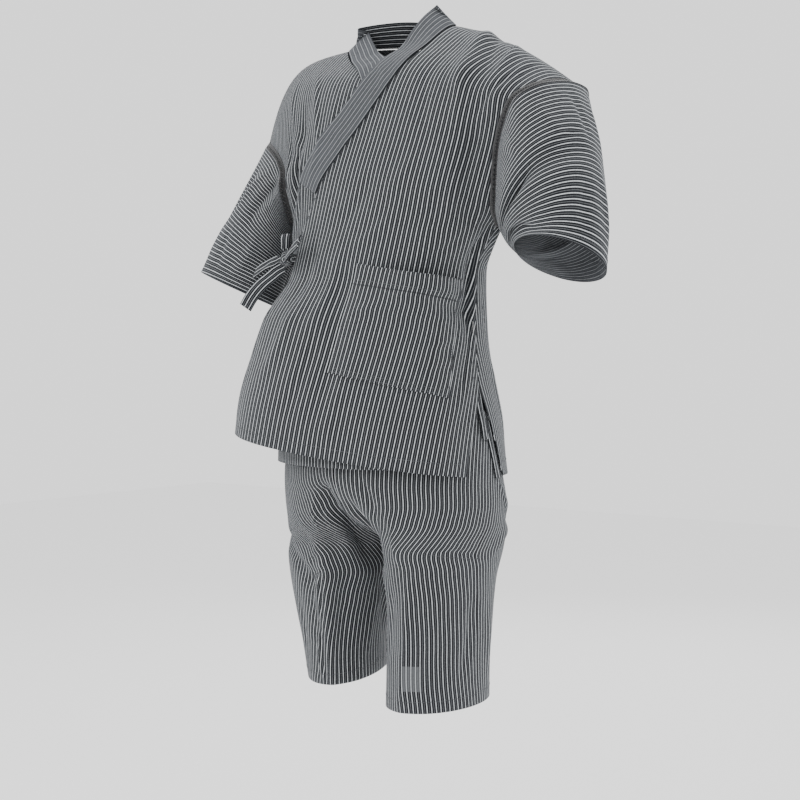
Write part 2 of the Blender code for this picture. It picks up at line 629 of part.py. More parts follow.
def walk(surface, p, t, heading, distance, steps=3):
    """Goes from places on a surface along headings that are kept flat to it."""
    for _ in range(steps):
        along_p = (surface(p + 0.004, t) - surface(p - 0.004, t)) / 0.008
        along_t = (surface(p, t + 0.004) - surface(p, t - 0.004)) / 0.008
        pp = (along_p * along_p).sum(-1)
        pt = (along_p * along_t).sum(-1)
        tt = (along_t * along_t).sum(-1)
        hp = (heading * along_p).sum(-1)
        ht = (heading * along_t).sum(-1)
        scale = pp * tt - pt * pt
        step_p = (hp * tt - ht * pt) / scale
        step_t = (ht * pp - hp * pt) / scale
        size = np.linalg.norm(along_p * step_p[:, None] + along_t * step_t[:, None], axis=1)
        p = p + step_p * distance / steps / size
        t = t + step_t * distance / steps / size
    return p, t


def collar_route(v):
    """Reach and station of the collar's seam, from the left end round the neck to the right one."""
    v = np.asarray(v, float)
    left = v <= 0.5
    t = np.where(
        left,
        COLLAR_LOW["left"] + (NECK_STATION - COLLAR_LOW["left"]) * 2 * v,
        NECK_STATION - (NECK_STATION - COLLAR_LOW["right"]) * (2 * v - 1),
    )
    edge = np.where(left, reach("left_edge", t), reach("right_edge", t))
    return np.where(t > NECK_STATION - 0.001, 0.0, edge), t, left


def collar_at(u, v):
    """u goes from the seam to the neck edge, v along the band."""
    p, t, left = collar_route(v)
    before = plain_body(*collar_route(v - 0.004)[:2])
    after = plain_body(*collar_route(v + 0.004)[:2])
    tangent = after - before
    tangent /= np.linalg.norm(tangent, axis=1, keepdims=True)
    normal = surface_normals(plain_body, p, t)
    inside = np.cross(normal, tangent)
    inside /= np.linalg.norm(inside, axis=1, keepdims=True)
    share = smoothstep((t - 8.0) / 1.4)
    lap = COLLAR_LAP * (1 - share) - COLLAR_CLEAR * share
    reachable = u * (COLLAR_WIDTH + lap) - lap
    far_p, far_t = walk(plain_body, p, t, inside, reachable)
    lift = np.where(left, OVERLAP_LIFT * reach("lift", t), 0.0) + COLLAR_LIFT
    lying = folded_body(far_p, far_t) + surface_normals(plain_body, far_p, far_t) * lift[:, None]
    shoulder = smoothstep((t - 8.0) / 2.0) * COLLAR_STAND["shoulder"]
    back = smoothstep(t - RIDGE) * (COLLAR_STAND["back"] - COLLAR_STAND["shoulder"])
    stand = np.radians(shoulder + back)
    level = inside * (1.0, 1.0, 0.0)
    level /= np.linalg.norm(level, axis=1, keepdims=True)
    level = level * np.cos(stand)[:, None]
    level[:, 2] = np.sin(stand)
    zero = np.zeros_like(t)
    start = np.where(left[:, None], on_panel("left", zero, t), on_panel("right", zero, t))
    start = start + normal * (COLLAR_LIFT * (1 - share))[:, None]
    standing = start + reachable[:, None] * level
    return lying * (1 - share[:, None]) + standing * share[:, None]


def make_collar():
    cloth_sheet("collar", collar_at, 2, 48, COLLAR_WALL)


def pocket_at(u, v):
    across = (u - 0.5) * POCKET_WIDTH
    up = (v - 0.5) * POCKET_HEIGHT
    tilt = math.radians(POCKET_TILT)
    round_body = across * math.cos(tilt) + up * math.sin(tilt)
    along_body = up * math.cos(tilt) - across * math.sin(tilt)
    middle_p, middle_height = POCKET_MIDDLE
    places = np.linspace(0, UNDER_ARM, 81)
    t = np.interp(middle_height + along_body, path_length(places), places)
    p = middle_p + round_body / CHART_WIDTH
    gape = POCKET_GAPE * np.exp(-(((u - 0.58) / 0.30) ** 2)) * smoothstep((v - 0.35) / 0.65)
    gape = gape * smoothstep(u / 0.15) * smoothstep((1 - u) / 0.15)
    edge = reach("left_edge", t)
    side = reach("left_side", t) - 0.0008
    lying = on_panel("left", (p - edge) / (side - edge), t)
    return lying + surface_normals(plain_body, p, t) * (POCKET_LIFT + gape)[:, None]


def make_pocket():
    cloth_sheet("pocket", pocket_at, 9, 8, WALL)


def make_ties():
    for name, (route, width_direction, width) in TIES.items():
        route = np.array(route)
        direction = np.array(width_direction) / np.linalg.norm(width_direction)

        def ribbon(u, v, route=route, direction=direction, width=width):
            at = v * (len(route) - 1)
            middle = np.stack([steady(route[:, k], at) for k in range(3)], -1)
            return middle + direction * ((u - 0.5) * width)[:, None]

        cloth_sheet(name, ribbon, 2, 4 * (len(route) - 1), TIE_WALL)
    shape = bmesh.new()
    bmesh.ops.create_uvsphere(shape, u_segments=12, v_segments=8, radius=1.0)
    bmesh.ops.scale(shape, vec=KNOT_RADII, verts=shape.verts)
    mesh = bpy.data.meshes.new("tie_knot")
    shape.to_mesh(mesh)
    shape.free()
    mesh.shade_smooth()
    mesh.materials.append(material("tie_knot", CLOTH_COLOUR))
    knot = bpy.data.objects.new("tie_knot", mesh)
    knot.location = KNOT_MIDDLE
    parts.objects.link(knot)


for old in list(bpy.data.objects):
    bpy.data.objects.remove(old, do_unlink=True)
parts = bpy.data.collections.new("jinbei_set")
bpy.context.scene.collection.children.link(parts)
make_body()
make_collar()
make_sleeves()
make_lace()
make_pocket()
make_ties()
make_shorts()
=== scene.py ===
"""Jinbei set, worn: the looks of a wrapped jacket with short wide sleeves and knee-length shorts.

Metres, +Z up, in the frame of the packed model. Each piece of cloth is a thin shell on the same
surface as its solid, with finer creases, and carries a map of its flat cut in metres.
"""

import json
import math
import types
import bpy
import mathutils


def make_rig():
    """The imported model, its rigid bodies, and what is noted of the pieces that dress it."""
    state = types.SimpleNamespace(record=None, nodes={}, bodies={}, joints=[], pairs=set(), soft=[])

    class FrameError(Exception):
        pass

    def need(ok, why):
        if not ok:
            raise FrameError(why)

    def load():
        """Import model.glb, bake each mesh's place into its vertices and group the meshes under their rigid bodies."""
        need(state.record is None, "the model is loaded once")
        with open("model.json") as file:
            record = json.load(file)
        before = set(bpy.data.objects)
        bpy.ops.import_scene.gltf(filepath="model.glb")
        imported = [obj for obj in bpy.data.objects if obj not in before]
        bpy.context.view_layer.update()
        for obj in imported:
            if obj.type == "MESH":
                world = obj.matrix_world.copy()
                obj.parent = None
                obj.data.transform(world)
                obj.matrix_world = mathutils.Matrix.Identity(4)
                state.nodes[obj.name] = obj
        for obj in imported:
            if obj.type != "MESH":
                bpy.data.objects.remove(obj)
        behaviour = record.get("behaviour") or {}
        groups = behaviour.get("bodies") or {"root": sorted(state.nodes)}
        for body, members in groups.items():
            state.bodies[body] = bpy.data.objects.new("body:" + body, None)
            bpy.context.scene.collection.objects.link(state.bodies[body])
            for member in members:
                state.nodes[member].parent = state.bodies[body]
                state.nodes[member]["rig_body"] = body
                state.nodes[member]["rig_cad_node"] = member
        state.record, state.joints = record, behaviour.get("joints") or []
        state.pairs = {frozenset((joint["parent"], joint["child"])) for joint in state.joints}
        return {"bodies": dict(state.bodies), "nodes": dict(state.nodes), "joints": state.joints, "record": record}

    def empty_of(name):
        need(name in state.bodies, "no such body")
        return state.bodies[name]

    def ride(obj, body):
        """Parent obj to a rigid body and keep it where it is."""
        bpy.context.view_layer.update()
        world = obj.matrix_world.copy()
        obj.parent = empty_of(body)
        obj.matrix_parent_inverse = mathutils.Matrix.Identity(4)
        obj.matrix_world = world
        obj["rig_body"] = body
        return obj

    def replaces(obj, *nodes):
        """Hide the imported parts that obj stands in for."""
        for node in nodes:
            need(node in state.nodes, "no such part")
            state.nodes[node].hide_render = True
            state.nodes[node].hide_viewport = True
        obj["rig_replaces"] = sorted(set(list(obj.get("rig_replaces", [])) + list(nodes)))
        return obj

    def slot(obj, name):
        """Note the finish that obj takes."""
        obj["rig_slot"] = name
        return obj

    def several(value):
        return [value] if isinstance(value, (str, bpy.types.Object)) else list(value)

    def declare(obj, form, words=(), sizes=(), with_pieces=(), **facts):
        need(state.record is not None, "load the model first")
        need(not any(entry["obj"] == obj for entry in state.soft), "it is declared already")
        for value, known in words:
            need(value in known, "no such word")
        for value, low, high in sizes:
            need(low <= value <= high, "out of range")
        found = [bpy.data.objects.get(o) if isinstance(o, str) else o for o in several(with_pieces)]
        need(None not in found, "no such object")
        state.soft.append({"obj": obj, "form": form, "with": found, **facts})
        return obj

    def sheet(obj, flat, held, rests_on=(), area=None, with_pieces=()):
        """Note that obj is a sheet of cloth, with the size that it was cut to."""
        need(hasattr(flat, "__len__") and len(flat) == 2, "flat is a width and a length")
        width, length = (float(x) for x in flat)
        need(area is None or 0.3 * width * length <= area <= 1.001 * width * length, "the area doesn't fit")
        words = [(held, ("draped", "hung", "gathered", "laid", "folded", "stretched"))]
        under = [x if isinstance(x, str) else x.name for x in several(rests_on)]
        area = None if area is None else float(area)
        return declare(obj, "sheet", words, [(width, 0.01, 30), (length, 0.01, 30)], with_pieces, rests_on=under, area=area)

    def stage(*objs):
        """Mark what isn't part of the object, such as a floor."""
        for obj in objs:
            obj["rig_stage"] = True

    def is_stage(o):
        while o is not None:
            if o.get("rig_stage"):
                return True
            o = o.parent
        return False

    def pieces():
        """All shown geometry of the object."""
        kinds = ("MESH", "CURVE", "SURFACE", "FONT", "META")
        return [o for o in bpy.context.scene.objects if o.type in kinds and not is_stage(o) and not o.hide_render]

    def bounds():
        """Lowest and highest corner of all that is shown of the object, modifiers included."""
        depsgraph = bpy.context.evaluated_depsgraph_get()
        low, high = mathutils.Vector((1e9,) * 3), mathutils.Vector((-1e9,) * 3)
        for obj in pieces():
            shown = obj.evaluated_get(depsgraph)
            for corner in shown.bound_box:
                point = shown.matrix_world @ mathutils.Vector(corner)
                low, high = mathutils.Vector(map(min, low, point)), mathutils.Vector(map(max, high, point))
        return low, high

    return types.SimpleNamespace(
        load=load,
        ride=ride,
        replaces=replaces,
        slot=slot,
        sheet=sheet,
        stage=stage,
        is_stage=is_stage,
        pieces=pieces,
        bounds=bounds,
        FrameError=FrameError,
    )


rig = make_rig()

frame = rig.load()

import bmesh
import bpy
import numpy as np
from bpy.props import FloatProperty, PointerProperty
from mathutils import Vector

bl_info = {
    "name": "Jinbei Set",
    "version": (1, 0, 0),
    "blender": (4, 5, 0),
    "location": "3D View > Sidebar > Jinbei",
    "description": "Builds a worn jinbei set of jacket and shorts, piece by piece",
    "category": "Add Mesh",
}

WALL = 0.0012
LACE_WALL = 0.0007
COLLAR_WALL = 0.0024
OVERLAP_LIFT = 0.0078
COLLAR_LIFT = 0.0030
POCKET_LIFT = 0.0024
LACE_WIDTH = 0.0100
LACE_CLEAR = 0.0003
COLLAR_WIDTH = 0.0410
POCKET_WIDTH = 0.1480
POCKET_HEIGHT = 0.1620
SLEEVE_RADIUS = 0.0740
TIE_WALL = 0.0020
SEAM_GAP = 0.0003
SHORTS_STEP = 0.06
# The map of the flat cut is stored at half size, so that every piece stays inside the unit square.
MAP_SCALE = 0.5

# Stations of the jacket body, from the front hem over the shoulder to the back hem.
# mid is the centre line; left and right are the side seam, and the armhole above it.
# turn is how far the section turns from the centre to the side, in degrees.
BODY_COLUMNS = (
    "x_mid", "y_mid", "z_mid", "x_left", "y_left", "z_left", "x_right", "y_right", "z_right", "turn",
)
BODY_ROWS = {
    "front hem": (-0.008, -0.147, -0.618, 0.172, 0.000, -0.618, 0.174, 0.000, -0.618, 90),
    "front hip": (-0.010, -0.143, -0.565, 0.166, 0.000, -0.565, 0.172, 0.000, -0.565, 90),
    "front slit": (-0.012, -0.134, -0.495, 0.156, 0.000, -0.495, 0.163, 0.000, -0.495, 90),
    "front pocket": (-0.012, -0.126, -0.430, 0.151, 0.000, -0.430, 0.156, 0.000, -0.430, 90),
    "front waist": (-0.011, -0.117, -0.350, 0.152, 0.000, -0.350, 0.150, 0.000, -0.350, 90),
    "front under arm": (-0.006, -0.117, -0.288, 0.178, 0.000, -0.285, 0.160, 0.000, -0.300, 90),
    "front armpit": (0.000, -0.115, -0.230, 0.196, -0.046, -0.256, 0.149, -0.054, -0.262, 72),
    "chest": (0.005, -0.107, -0.160, 0.208, -0.062, -0.180, 0.139, -0.086, -0.213, 60),
    "upper chest": (0.010, -0.086, -0.085, 0.234, -0.074, -0.122, 0.154, -0.082, -0.186, 48),
    "collarbone": (0.015, -0.048, -0.046, 0.252, -0.042, -0.098, 0.200, -0.058, -0.162, 42),
    "ridge": (0.015, 0.000, -0.017, 0.257, 0.015, -0.090, 0.228, -0.020, -0.155, 42),
    "nape": (0.015, 0.055, -0.036, 0.252, 0.062, -0.096, 0.218, 0.022, -0.162, 42),
    "blade": (0.010, 0.090, -0.086, 0.236, 0.090, -0.124, 0.190, 0.064, -0.190, 48),
    "back": (0.005, 0.103, -0.160, 0.216, 0.086, -0.184, 0.166, 0.074, -0.215, 60),
    "back armpit": (0.000, 0.106, -0.230, 0.196, 0.052, -0.256, 0.156, 0.046, -0.262, 72),
    "back under arm": (-0.006, 0.104, -0.288, 0.178, 0.000, -0.285, 0.160, 0.000, -0.300, 90),
    "back waist": (-0.011, 0.101, -0.350, 0.152, 0.000, -0.350, 0.150, 0.000, -0.350, 90),
    "back pocket": (-0.012, 0.114, -0.430, 0.151, 0.000, -0.430, 0.156, 0.000, -0.430, 90),
    "back slit": (-0.012, 0.130, -0.495, 0.156, 0.000, -0.495, 0.163, 0.000, -0.495, 90),
    "back hip": (-0.010, 0.143, -0.565, 0.166, 0.000, -0.565, 0.172, 0.000, -0.565, 90),
    "back hem": (-0.008, 0.148, -0.632, 0.173, 0.000, -0.632, 0.176, 0.000, -0.632, 90),
}
STATIONS = list(BODY_ROWS)
UNDER_ARM = STATIONS.index("front under arm")
RIDGE = STATIONS.index("ridge")
BACK_UNDER_ARM = STATIONS.index("back under arm")
LAST = len(STATIONS) - 1
SHOULDER_TILT = 0.036
SHOULDER_FLAT = 0.28
SHOULDER_FALL = {"left": 1.15, "right": 5.5}

# How far each panel reaches round the body at each station, from -1 at the right side seam
# to 1 at the left one. The free edge is a fraction past the centre front. flare is how far
# the outer front's free edge stands out, and slant how much higher it is than at the side.
REACH_COLUMNS = ("left_edge", "left_side", "right_edge", "right_side", "flare", "slant", "lift")
REACH_ROWS = {
    "front hem": (-0.60, 0.80, 0.50, -0.93, 0.054, 0.050, 1.0),
    "front hip": (-0.58, 0.88, 0.50, -0.97, 0.050, 0.038, 1.0),
    "front slit": (-0.53, 1.00, 0.50, -1.00, 0.042, 0.022, 1.0),
    "front pocket": (-0.47, 1.00, 0.50, -1.00, 0.034, 0.010, 1.0),
    "front waist": (-0.38, 1.00, 0.50, -1.00, 0.006, 0.000, 1.0),
    "front under arm": (-0.28, 1.00, 0.50, -1.00, 0.000, 0.000, 1.0),
    "front armpit": (-0.22, 1.00, 0.42, -1.00, 0.000, 0.000, 1.0),
    "chest": (0.040, 1.00, 0.25, -1.00, 0.000, 0.000, 1.0),
    "upper chest": (0.230, 1.00, 0.00, -1.00, 0.000, 0.000, 1.0),
    "collarbone": (0.300, 1.00, -0.27, -1.00, 0.000, 0.000, 0.6),
    "ridge": (0.320, 1.00, -0.38, -1.00, 0.000, 0.000, 0.0),
    "nape": (0.001, 1.00, -0.001, -1.00, 0.000, 0.000, 0.0),
    "blade": (0.001, 1.00, -0.001, -1.00, 0.000, 0.000, 0.0),
    "back": (0.001, 1.00, -0.001, -1.00, 0.000, 0.000, 0.0),
    "back armpit": (0.001, 1.00, -0.001, -1.00, 0.000, 0.000, 0.0),
    "back under arm": (0.001, 1.00, -0.001, -1.00, 0.000, 0.000, 0.0),
    "back waist": (0.001, 1.00, -0.001, -1.00, 0.000, 0.000, 0.0),
    "back pocket": (0.001, 1.00, -0.001, -1.00, 0.000, 0.000, 0.0),
    "back slit": (0.001, 1.00, -0.001, -1.00, 0.000, 0.000, 0.0),
    "back hip": (0.001, 0.92, -0.001, -0.96, 0.000, 0.000, 0.0),
    "back hem": (0.001, 0.84, -0.001, -0.92, 0.000, 0.000, 0.0),
}

# The body's largest folds: a line from one place to another, in reach and station, with its
# half width and its height in metres. A height below zero is a trough.
BODY_FOLD_COLUMNS = ("p0", "t0", "p1", "t1", "half_width", "height")
BODY_FOLDS = (
    (0.50, 10.0, 0.66, 7.9, 0.014, 0.007),
    (0.74, 9.9, 0.92, 7.6, 0.014, 0.006),
    (0.86, 7.2, 0.72, 5.2, 0.016, -0.012),
    (0.92, 4.9, 0.93, 2.9, 0.012, -0.010),
    (0.10, 4.2, 0.02, 1.0, 0.016, -0.006),
    (0.55, 5.0, 0.50, 3.9, 0.018, 0.006),
    (0.96, 3.3, 0.60, 3.5, 0.012, -0.006),
    (-0.66, 7.9, -0.72, 5.6, 0.014, -0.008),
    (-0.90, 4.6, -0.86, 2.4, 0.016, -0.008),
    (0.86, 12.8, 0.66, 15.6, 0.018, -0.012),
    (-0.86, 12.8, -0.64, 15.6, 0.018, -0.012),
    (0.44, 15.4, 0.52, 19.6, 0.018, -0.005),
    (-0.40, 15.6, -0.50, 19.4, 0.018, -0.005),
    (0.30, 13.0, 0.62, 11.4, 0.016, 0.005),
    (-0.28, 13.2, -0.60, 11.6, 0.016, 0.005),
)
CHART_WIDTH = 0.21
# How many rows of the solid's grid lead up to each station, which spaces the sleeves' rings.
ROW_STATIONS = (0, 4, UNDER_ARM, RIDGE, 11, BACK_UNDER_ARM, 16, LAST)
ROW_COUNTS = (0, 6, 8, 20, 24, 34, 36, 42)

# Sleeves: the middle ring and the cuff, each a centre, an outward vector and a forward one,
# and which way the lace leads from the armhole, under the arm and over it.
RING_COLUMNS = ("centre", "outward", "forward")
SLEEVE_RINGS = {
    "left": {
        "middle": ((0.2635, 0.006, -0.260), (0.0640, 0.004, 0.054), (0.006, -0.086, 0.025)),
        "cuff": ((0.269, 0.015, -0.331), (0.950, 0.000, -0.100), (0.240, -0.880, 0.410)),
        "lace": ((0.95, 0.0, -0.30), (0.80, 0.0, -0.60)),
    },
    "right": {
        "middle": ((-0.225, -0.018, -0.290), (-0.040, -0.005, 0.040), (0.030, -0.080, 0.026)),
        "cuff": ((-0.268, -0.030, -0.375), (-0.950, 0.000, 0.310), (0.250, -0.940, 0.232)),
        "lace": ((-1.0, 0.0, 0.05), (-0.60, 0.0, -0.80)),
    },
}
# Sleeve folds: from one place to another, in turns round from the underarm seam and in the
# share of the way to the cuff.
SLEEVE_FOLD_COLUMNS = ("w0", "v0", "w1", "v1", "half_width", "height")
SLEEVE_FOLDS = {
    "left": (
        (0.10, 0.50, 0.46, 0.44, 0.015, -0.013),
        (0.06, 0.78, 0.22, 0.86, 0.012, -0.010),
        (0.90, 0.55, 0.66, 0.60, 0.015, -0.009),
    ),
    "right": (
        (0.20, 0.02, 0.24, 0.55, 0.012, -0.010),
        (0.92, 0.45, 0.72, 0.62, 0.014, -0.008),
    ),
}
SLEEVE_CHART = 0.46
SLEEVE_LENGTH = 0.25

# Stations of the shorts, from the leg hem to the waist. half_width, front and back are the
# hip's section, x, y, across and along the leg's ring, and hip is how much of the hip's
# section a station has.
SHORTS_COLUMNS = ("z", "half_width", "front", "back", "x", "y", "across", "along", "hip")
SHORTS_ROWS = {
    "left": (
        (-0.950, 0.168, 0.138, 0.140, 0.094, -0.026, 0.066, 0.082, 0.0),
        (-0.900, 0.168, 0.138, 0.140, 0.092, -0.022, 0.065, 0.083, 0.0),
        (-0.840, 0.168, 0.138, 0.140, 0.089, -0.014, 0.066, 0.085, 0.0),
        (-0.780, 0.168, 0.138, 0.142, 0.086, -0.008, 0.071, 0.088, 0.0),
        (-0.735, 0.168, 0.138, 0.144, 0.085, -0.002, 0.077, 0.100, 0.12),
        (-0.680, 0.168, 0.137, 0.144, 0.086, 0.004, 0.083, 0.120, 0.80),
        (-0.620, 0.165, 0.133, 0.130, 0.086, 0.004, 0.085, 0.130, 1.0),
        (-0.540, 0.1480, 0.116, 0.108, 0.086, 0.004, 0.085, 0.130, 1.0),
        (-0.430, 0.122, 0.096, 0.084, 0.086, 0.004, 0.085, 0.130, 1.0),
    ),
    "right": (
        (-0.938, 0.168, 0.138, 0.140, -0.096, 0.010, 0.056, 0.088, 0.0),
        (-0.890, 0.168, 0.138, 0.140, -0.099, 0.008, 0.060, 0.088, 0.0),
        (-0.840, 0.168, 0.138, 0.140, -0.100, 0.006, 0.068, 0.090, 0.0),
        (-0.780, 0.168, 0.138, 0.142, -0.097, 0.004, 0.079, 0.100, 0.0),
        (-0.735, 0.170, 0.138, 0.144, -0.092, 0.003, 0.085, 0.114, 0.15),
        (-0.680, 0.172, 0.137, 0.144, -0.088, 0.004, 0.087, 0.124, 0.80),
        (-0.620, 0.168, 0.133, 0.130, -0.086, 0.004, 0.085, 0.130, 1.0),
        (-0.540, 0.152, 0.116, 0.108, -0.086, 0.004, 0.085, 0.130, 1.0),
        (-0.430, 0.126, 0.096, 0.084, -0.086, 0.004, 0.085, 0.130, 1.0),
    ),
}
HALF_SEAM = 0.0010
HIP_SHIFT = -0.006
LEG_YAW = {"left": 0.0, "right": 22.0}
HEM_RISE = {"left": 0.08, "right": 0.16}
SHORTS_FOLD_COLUMNS = ("w0", "h0", "w1", "h1", "half_width", "height")
SHORTS_FOLDS = {
    "left": (
        (0.02, 5.2, 0.12, 3.6, 0.016, -0.012),
        (0.96, 5.4, 0.80, 3.4, 0.018, -0.012),
        (0.25, 0.0, 0.27, 3.0, 0.014, 0.006),
        (0.62, 4.9, 0.76, 2.6, 0.016, -0.009),
    ),
    "right": (
        (0.03, 5.6, 0.13, 3.4, 0.018, -0.016),
        (0.24, 0.0, 0.24, 4.4, 0.012, 0.010),
        (0.46, 4.4, 0.30, 3.0, 0.014, -0.010),
        (0.96, 5.4, 0.80, 3.4, 0.018, -0.012),
    ),
}
SHORTS_CHART = 0.52
WAISTBAND_HEIGHT = 0.030

# The collar: how far along the stations each end lies, and how the band stands up round the neck.
COLLAR_LOW = {"left": 5.86, "right": 5.60}
COLLAR_LAP = 0.002
COLLAR_CLEAR = 0.0024
COLLAR_STAND = {"shoulder": 43.0, "back": 74.0}
NECK_STATION = STATIONS.index("nape")

# The pocket: its middle on the outer front, its tilt, and how far its top edge gapes.
POCKET_MIDDLE = (0.440, 0.192)
POCKET_TILT = 9.0
POCKET_GAPE = 0.016

# Ties: each a route of its middle line, the direction of its width and its width.
KNOT_MIDDLE = (-0.1150, -0.1050, -0.329)
KNOT_RADII = (0.010, 0.008, 0.011)
TIES = {
    "tie_strap_edge": (
        ((-0.0952, -0.1098, -0.3285), (-0.0998, -0.1085, -0.3285), (-0.1046, -0.1068, -0.329)),
        (0.35, -0.06, 0.93), 0.012),
    "tie_strap_side": (
        ((-0.1222, -0.0988, -0.330), (-0.137, -0.080, -0.331), (-0.153, -0.050, -0.332),
         (-0.1614, -0.010, -0.332)),
        (0.02, 0.02, 1.00), 0.014),
    "tie_loop_up": (
        ((-0.1150, -0.1055, -0.3172), (-0.113, -0.110, -0.306), (-0.106, -0.116, -0.297),
         (-0.100, -0.123, -0.296), (-0.099, -0.127, -0.303), (-0.104, -0.122, -0.314)),
        (0.80, 0.60, 0.10), 0.013),
    "tie_loop_side": (
        ((-0.1085, -0.1125, -0.326), (-0.090, -0.127, -0.319), (-0.070, -0.139, -0.309),
         (-0.056, -0.145, -0.303), (-0.054, -0.151, -0.308), (-0.073, -0.145, -0.319),
         (-0.094, -0.134, -0.330), (-0.1075, -0.1170, -0.3325)),
        (0.25, 0.10, 1.00), 0.012),
    "tie_tail_up": (
        ((-0.1255, -0.1080, -0.330), (-0.141, -0.110, -0.334), (-0.157, -0.110, -0.341),
         (-0.173, -0.109, -0.349)),
        (0.20, 0.25, 1.00), 0.016),
    "tie_tail_down": (
        ((-0.1180, -0.1090, -0.3392), (-0.126, -0.121, -0.352), (-0.139, -0.132, -0.366),
         (-0.151, -0.139, -0.382), (-0.160, -0.143, -0.398)),
        (0.75, 0.35, -0.55), 0.019),
    "inner_tie_short": (
        ((0.1394, 0.001, -0.478), (0.1415, 0.001, -0.505), (0.1462, 0.001, -0.533),
         (0.1518, 0.001, -0.557), (0.1552, 0.002, -0.580)),
        (0.00, 1.00, 0.05), 0.012),
    "inner_tie_long": (
        ((0.1447, 0.0140, -0.540), (0.1492, 0.0145, -0.560), (0.1550, 0.0170, -0.590),
         (0.1618, 0.0220, -0.634)),
        (-0.10, 0.99, 0.05), 0.012),
}

# Creases finer than the solid's folds. lean makes one side of a crease steeper than the other.
CREASE_COLUMNS = ("a0", "b0", "a1", "b1", "half_width", "height", "lean")
BODY_CREASES = (
    # Over the near shoulder, towards the armhole.
    (0.42, 10.9, 0.56, 9.0, 0.006, 0.0030, 0.6),
    (0.58, 10.6, 0.74, 8.6, 0.006, -0.0026, -0.5),
    (0.66, 10.3, 0.80, 8.2, 0.005, 0.0032, 0.5),
    (0.84, 9.9, 0.95, 8.3, 0.005, 0.0030, -0.4),
    (0.90, 9.0, 0.80, 7.4, 0.005, -0.0028, 0.4),
    (0.60, 8.6, 0.70, 7.0, 0.008, 0.0028, 0.5),
    (0.46, 8.9, 0.54, 6.8, 0.009, -0.0024, -0.5),
    # From the armpit down and across the chest.
    (0.96, 7.0, 0.80, 5.7, 0.006, -0.0042, 0.6),
    (0.78, 6.6, 0.66, 5.3, 0.006, 0.0032, -0.5),
    (0.94, 6.0, 0.76, 4.9, 0.006, 0.0030, 0.5),
    (0.66, 6.3, 0.50, 5.2, 0.008, -0.0026, 0.5),
    (0.46, 6.6, 0.30, 5.6, 0.008, 0.0024, -0.4),
    (0.20, 6.3, 0.02, 5.0, 0.009, -0.0026, 0.5),
    (0.36, 5.6, 0.12, 4.6, 0.008, 0.0022, 0.4),
    # Round the pocket and towards the slit.
    (0.98, 4.7, 0.86, 3.5, 0.006, 0.0034, -0.5),
    (0.88, 4.4, 0.80, 2.9, 0.007, -0.0032, 0.5),
    (0.97, 3.0, 0.84, 1.7, 0.006, -0.0030, -0.5),
    (0.76, 4.9, 0.52, 4.3, 0.006, -0.0026, 0.4),
    (0.92, 2.3, 0.70, 1.2, 0.008, 0.0026, 0.5),
    (0.60, 1.6, 0.40, 0.5, 0.010, -0.0024, 0.4),
    # The outer front's free side.
    (0.02, 4.6, -0.10, 2.9, 0.008, 0.0030, 0.5),
    (-0.12, 4.8, -0.22, 3.2, 0.008, -0.0030, -0.4),
    (-0.20, 3.6, -0.36, 1.6, 0.010, 0.0034, 0.5),
    (-0.04, 3.0, -0.18, 0.9, 0.009, -0.0030, 0.4),
    (0.14, 2.0, 0.04, 0.2, 0.010, 0.0030, -0.5),
    # The inner front and the far shoulder.
    (-0.84, 8.6, -0.99, 6.5, 0.006, -0.0036, 0.5),
    (-0.72, 9.1, -0.84, 7.7, 0.006, 0.0034, -0.4),
    (-0.84, 7.7, -0.44, 5.2, 0.008, 0.0036, 0.5),
    (-0.54, 9.0, -0.36, 6.8, 0.008, 0.0030, -0.5),
    (-0.26, 7.7, -0.35, 6.0, 0.007, 0.0026, 0.5),
    (-0.60, 6.4, -0.50, 4.4, 0.008, -0.0030, 0.5),
    (-0.80, 5.0, -0.66, 3.2, 0.007, 0.0032, -0.4),
    (-0.94, 3.9, -0.78, 2.0, 0.008, -0.0032, 0.5),
    (-0.70, 2.6, -0.62, 0.6, 0.010, 0.0030, -0.4),
    # The back, which the photograph doesn't show, in the same manner.
    (0.40, 12.4, 0.72, 11.8, 0.008, 0.0024, 0.4),
    (-0.36, 12.6, -0.70, 11.9, 0.008, 0.0024, -0.4),
    (0.90, 13.6, 0.74, 15.4, 0.006, -0.0034, 0.6),
    (0.96, 14.4, 0.80, 16.0, 0.006, 0.0030, -0.5),
    (0.70, 14.0, 0.54, 15.8, 0.008, 0.0026, 0.5),
    (-0.90, 13.6, -0.72, 15.4, 0.006, -0.0034, -0.6),
    (-0.96, 14.4, -0.82, 16.0, 0.006, 0.0030, 0.5),
    (-0.68, 14.0, -0.54, 15.8, 0.008, 0.0026, -0.5),
    (0.30, 14.8, 0.20, 16.8, 0.010, 0.0022, 0.5),
    (-0.26, 14.6, -0.16, 16.9, 0.010, 0.0022, -0.4),
    (0.94, 16.2, 0.72, 17.6, 0.008, -0.0030, 0.5),
    (-0.94, 16.2, -0.72, 17.4, 0.008, -0.0030, -0.5),
    (0.80, 17.4, 0.66, 19.4, 0.010, 0.0030, 0.4),
    (-0.80, 17.2, -0.70, 19.2, 0.010, 0.0030, -0.4),
    (0.22, 17.2, 0.28, 19.6, 0.012, -0.0026, 0.4),
    (-0.18, 17.4, -0.24, 19.7, 0.012, -0.0026, -0.4),
)
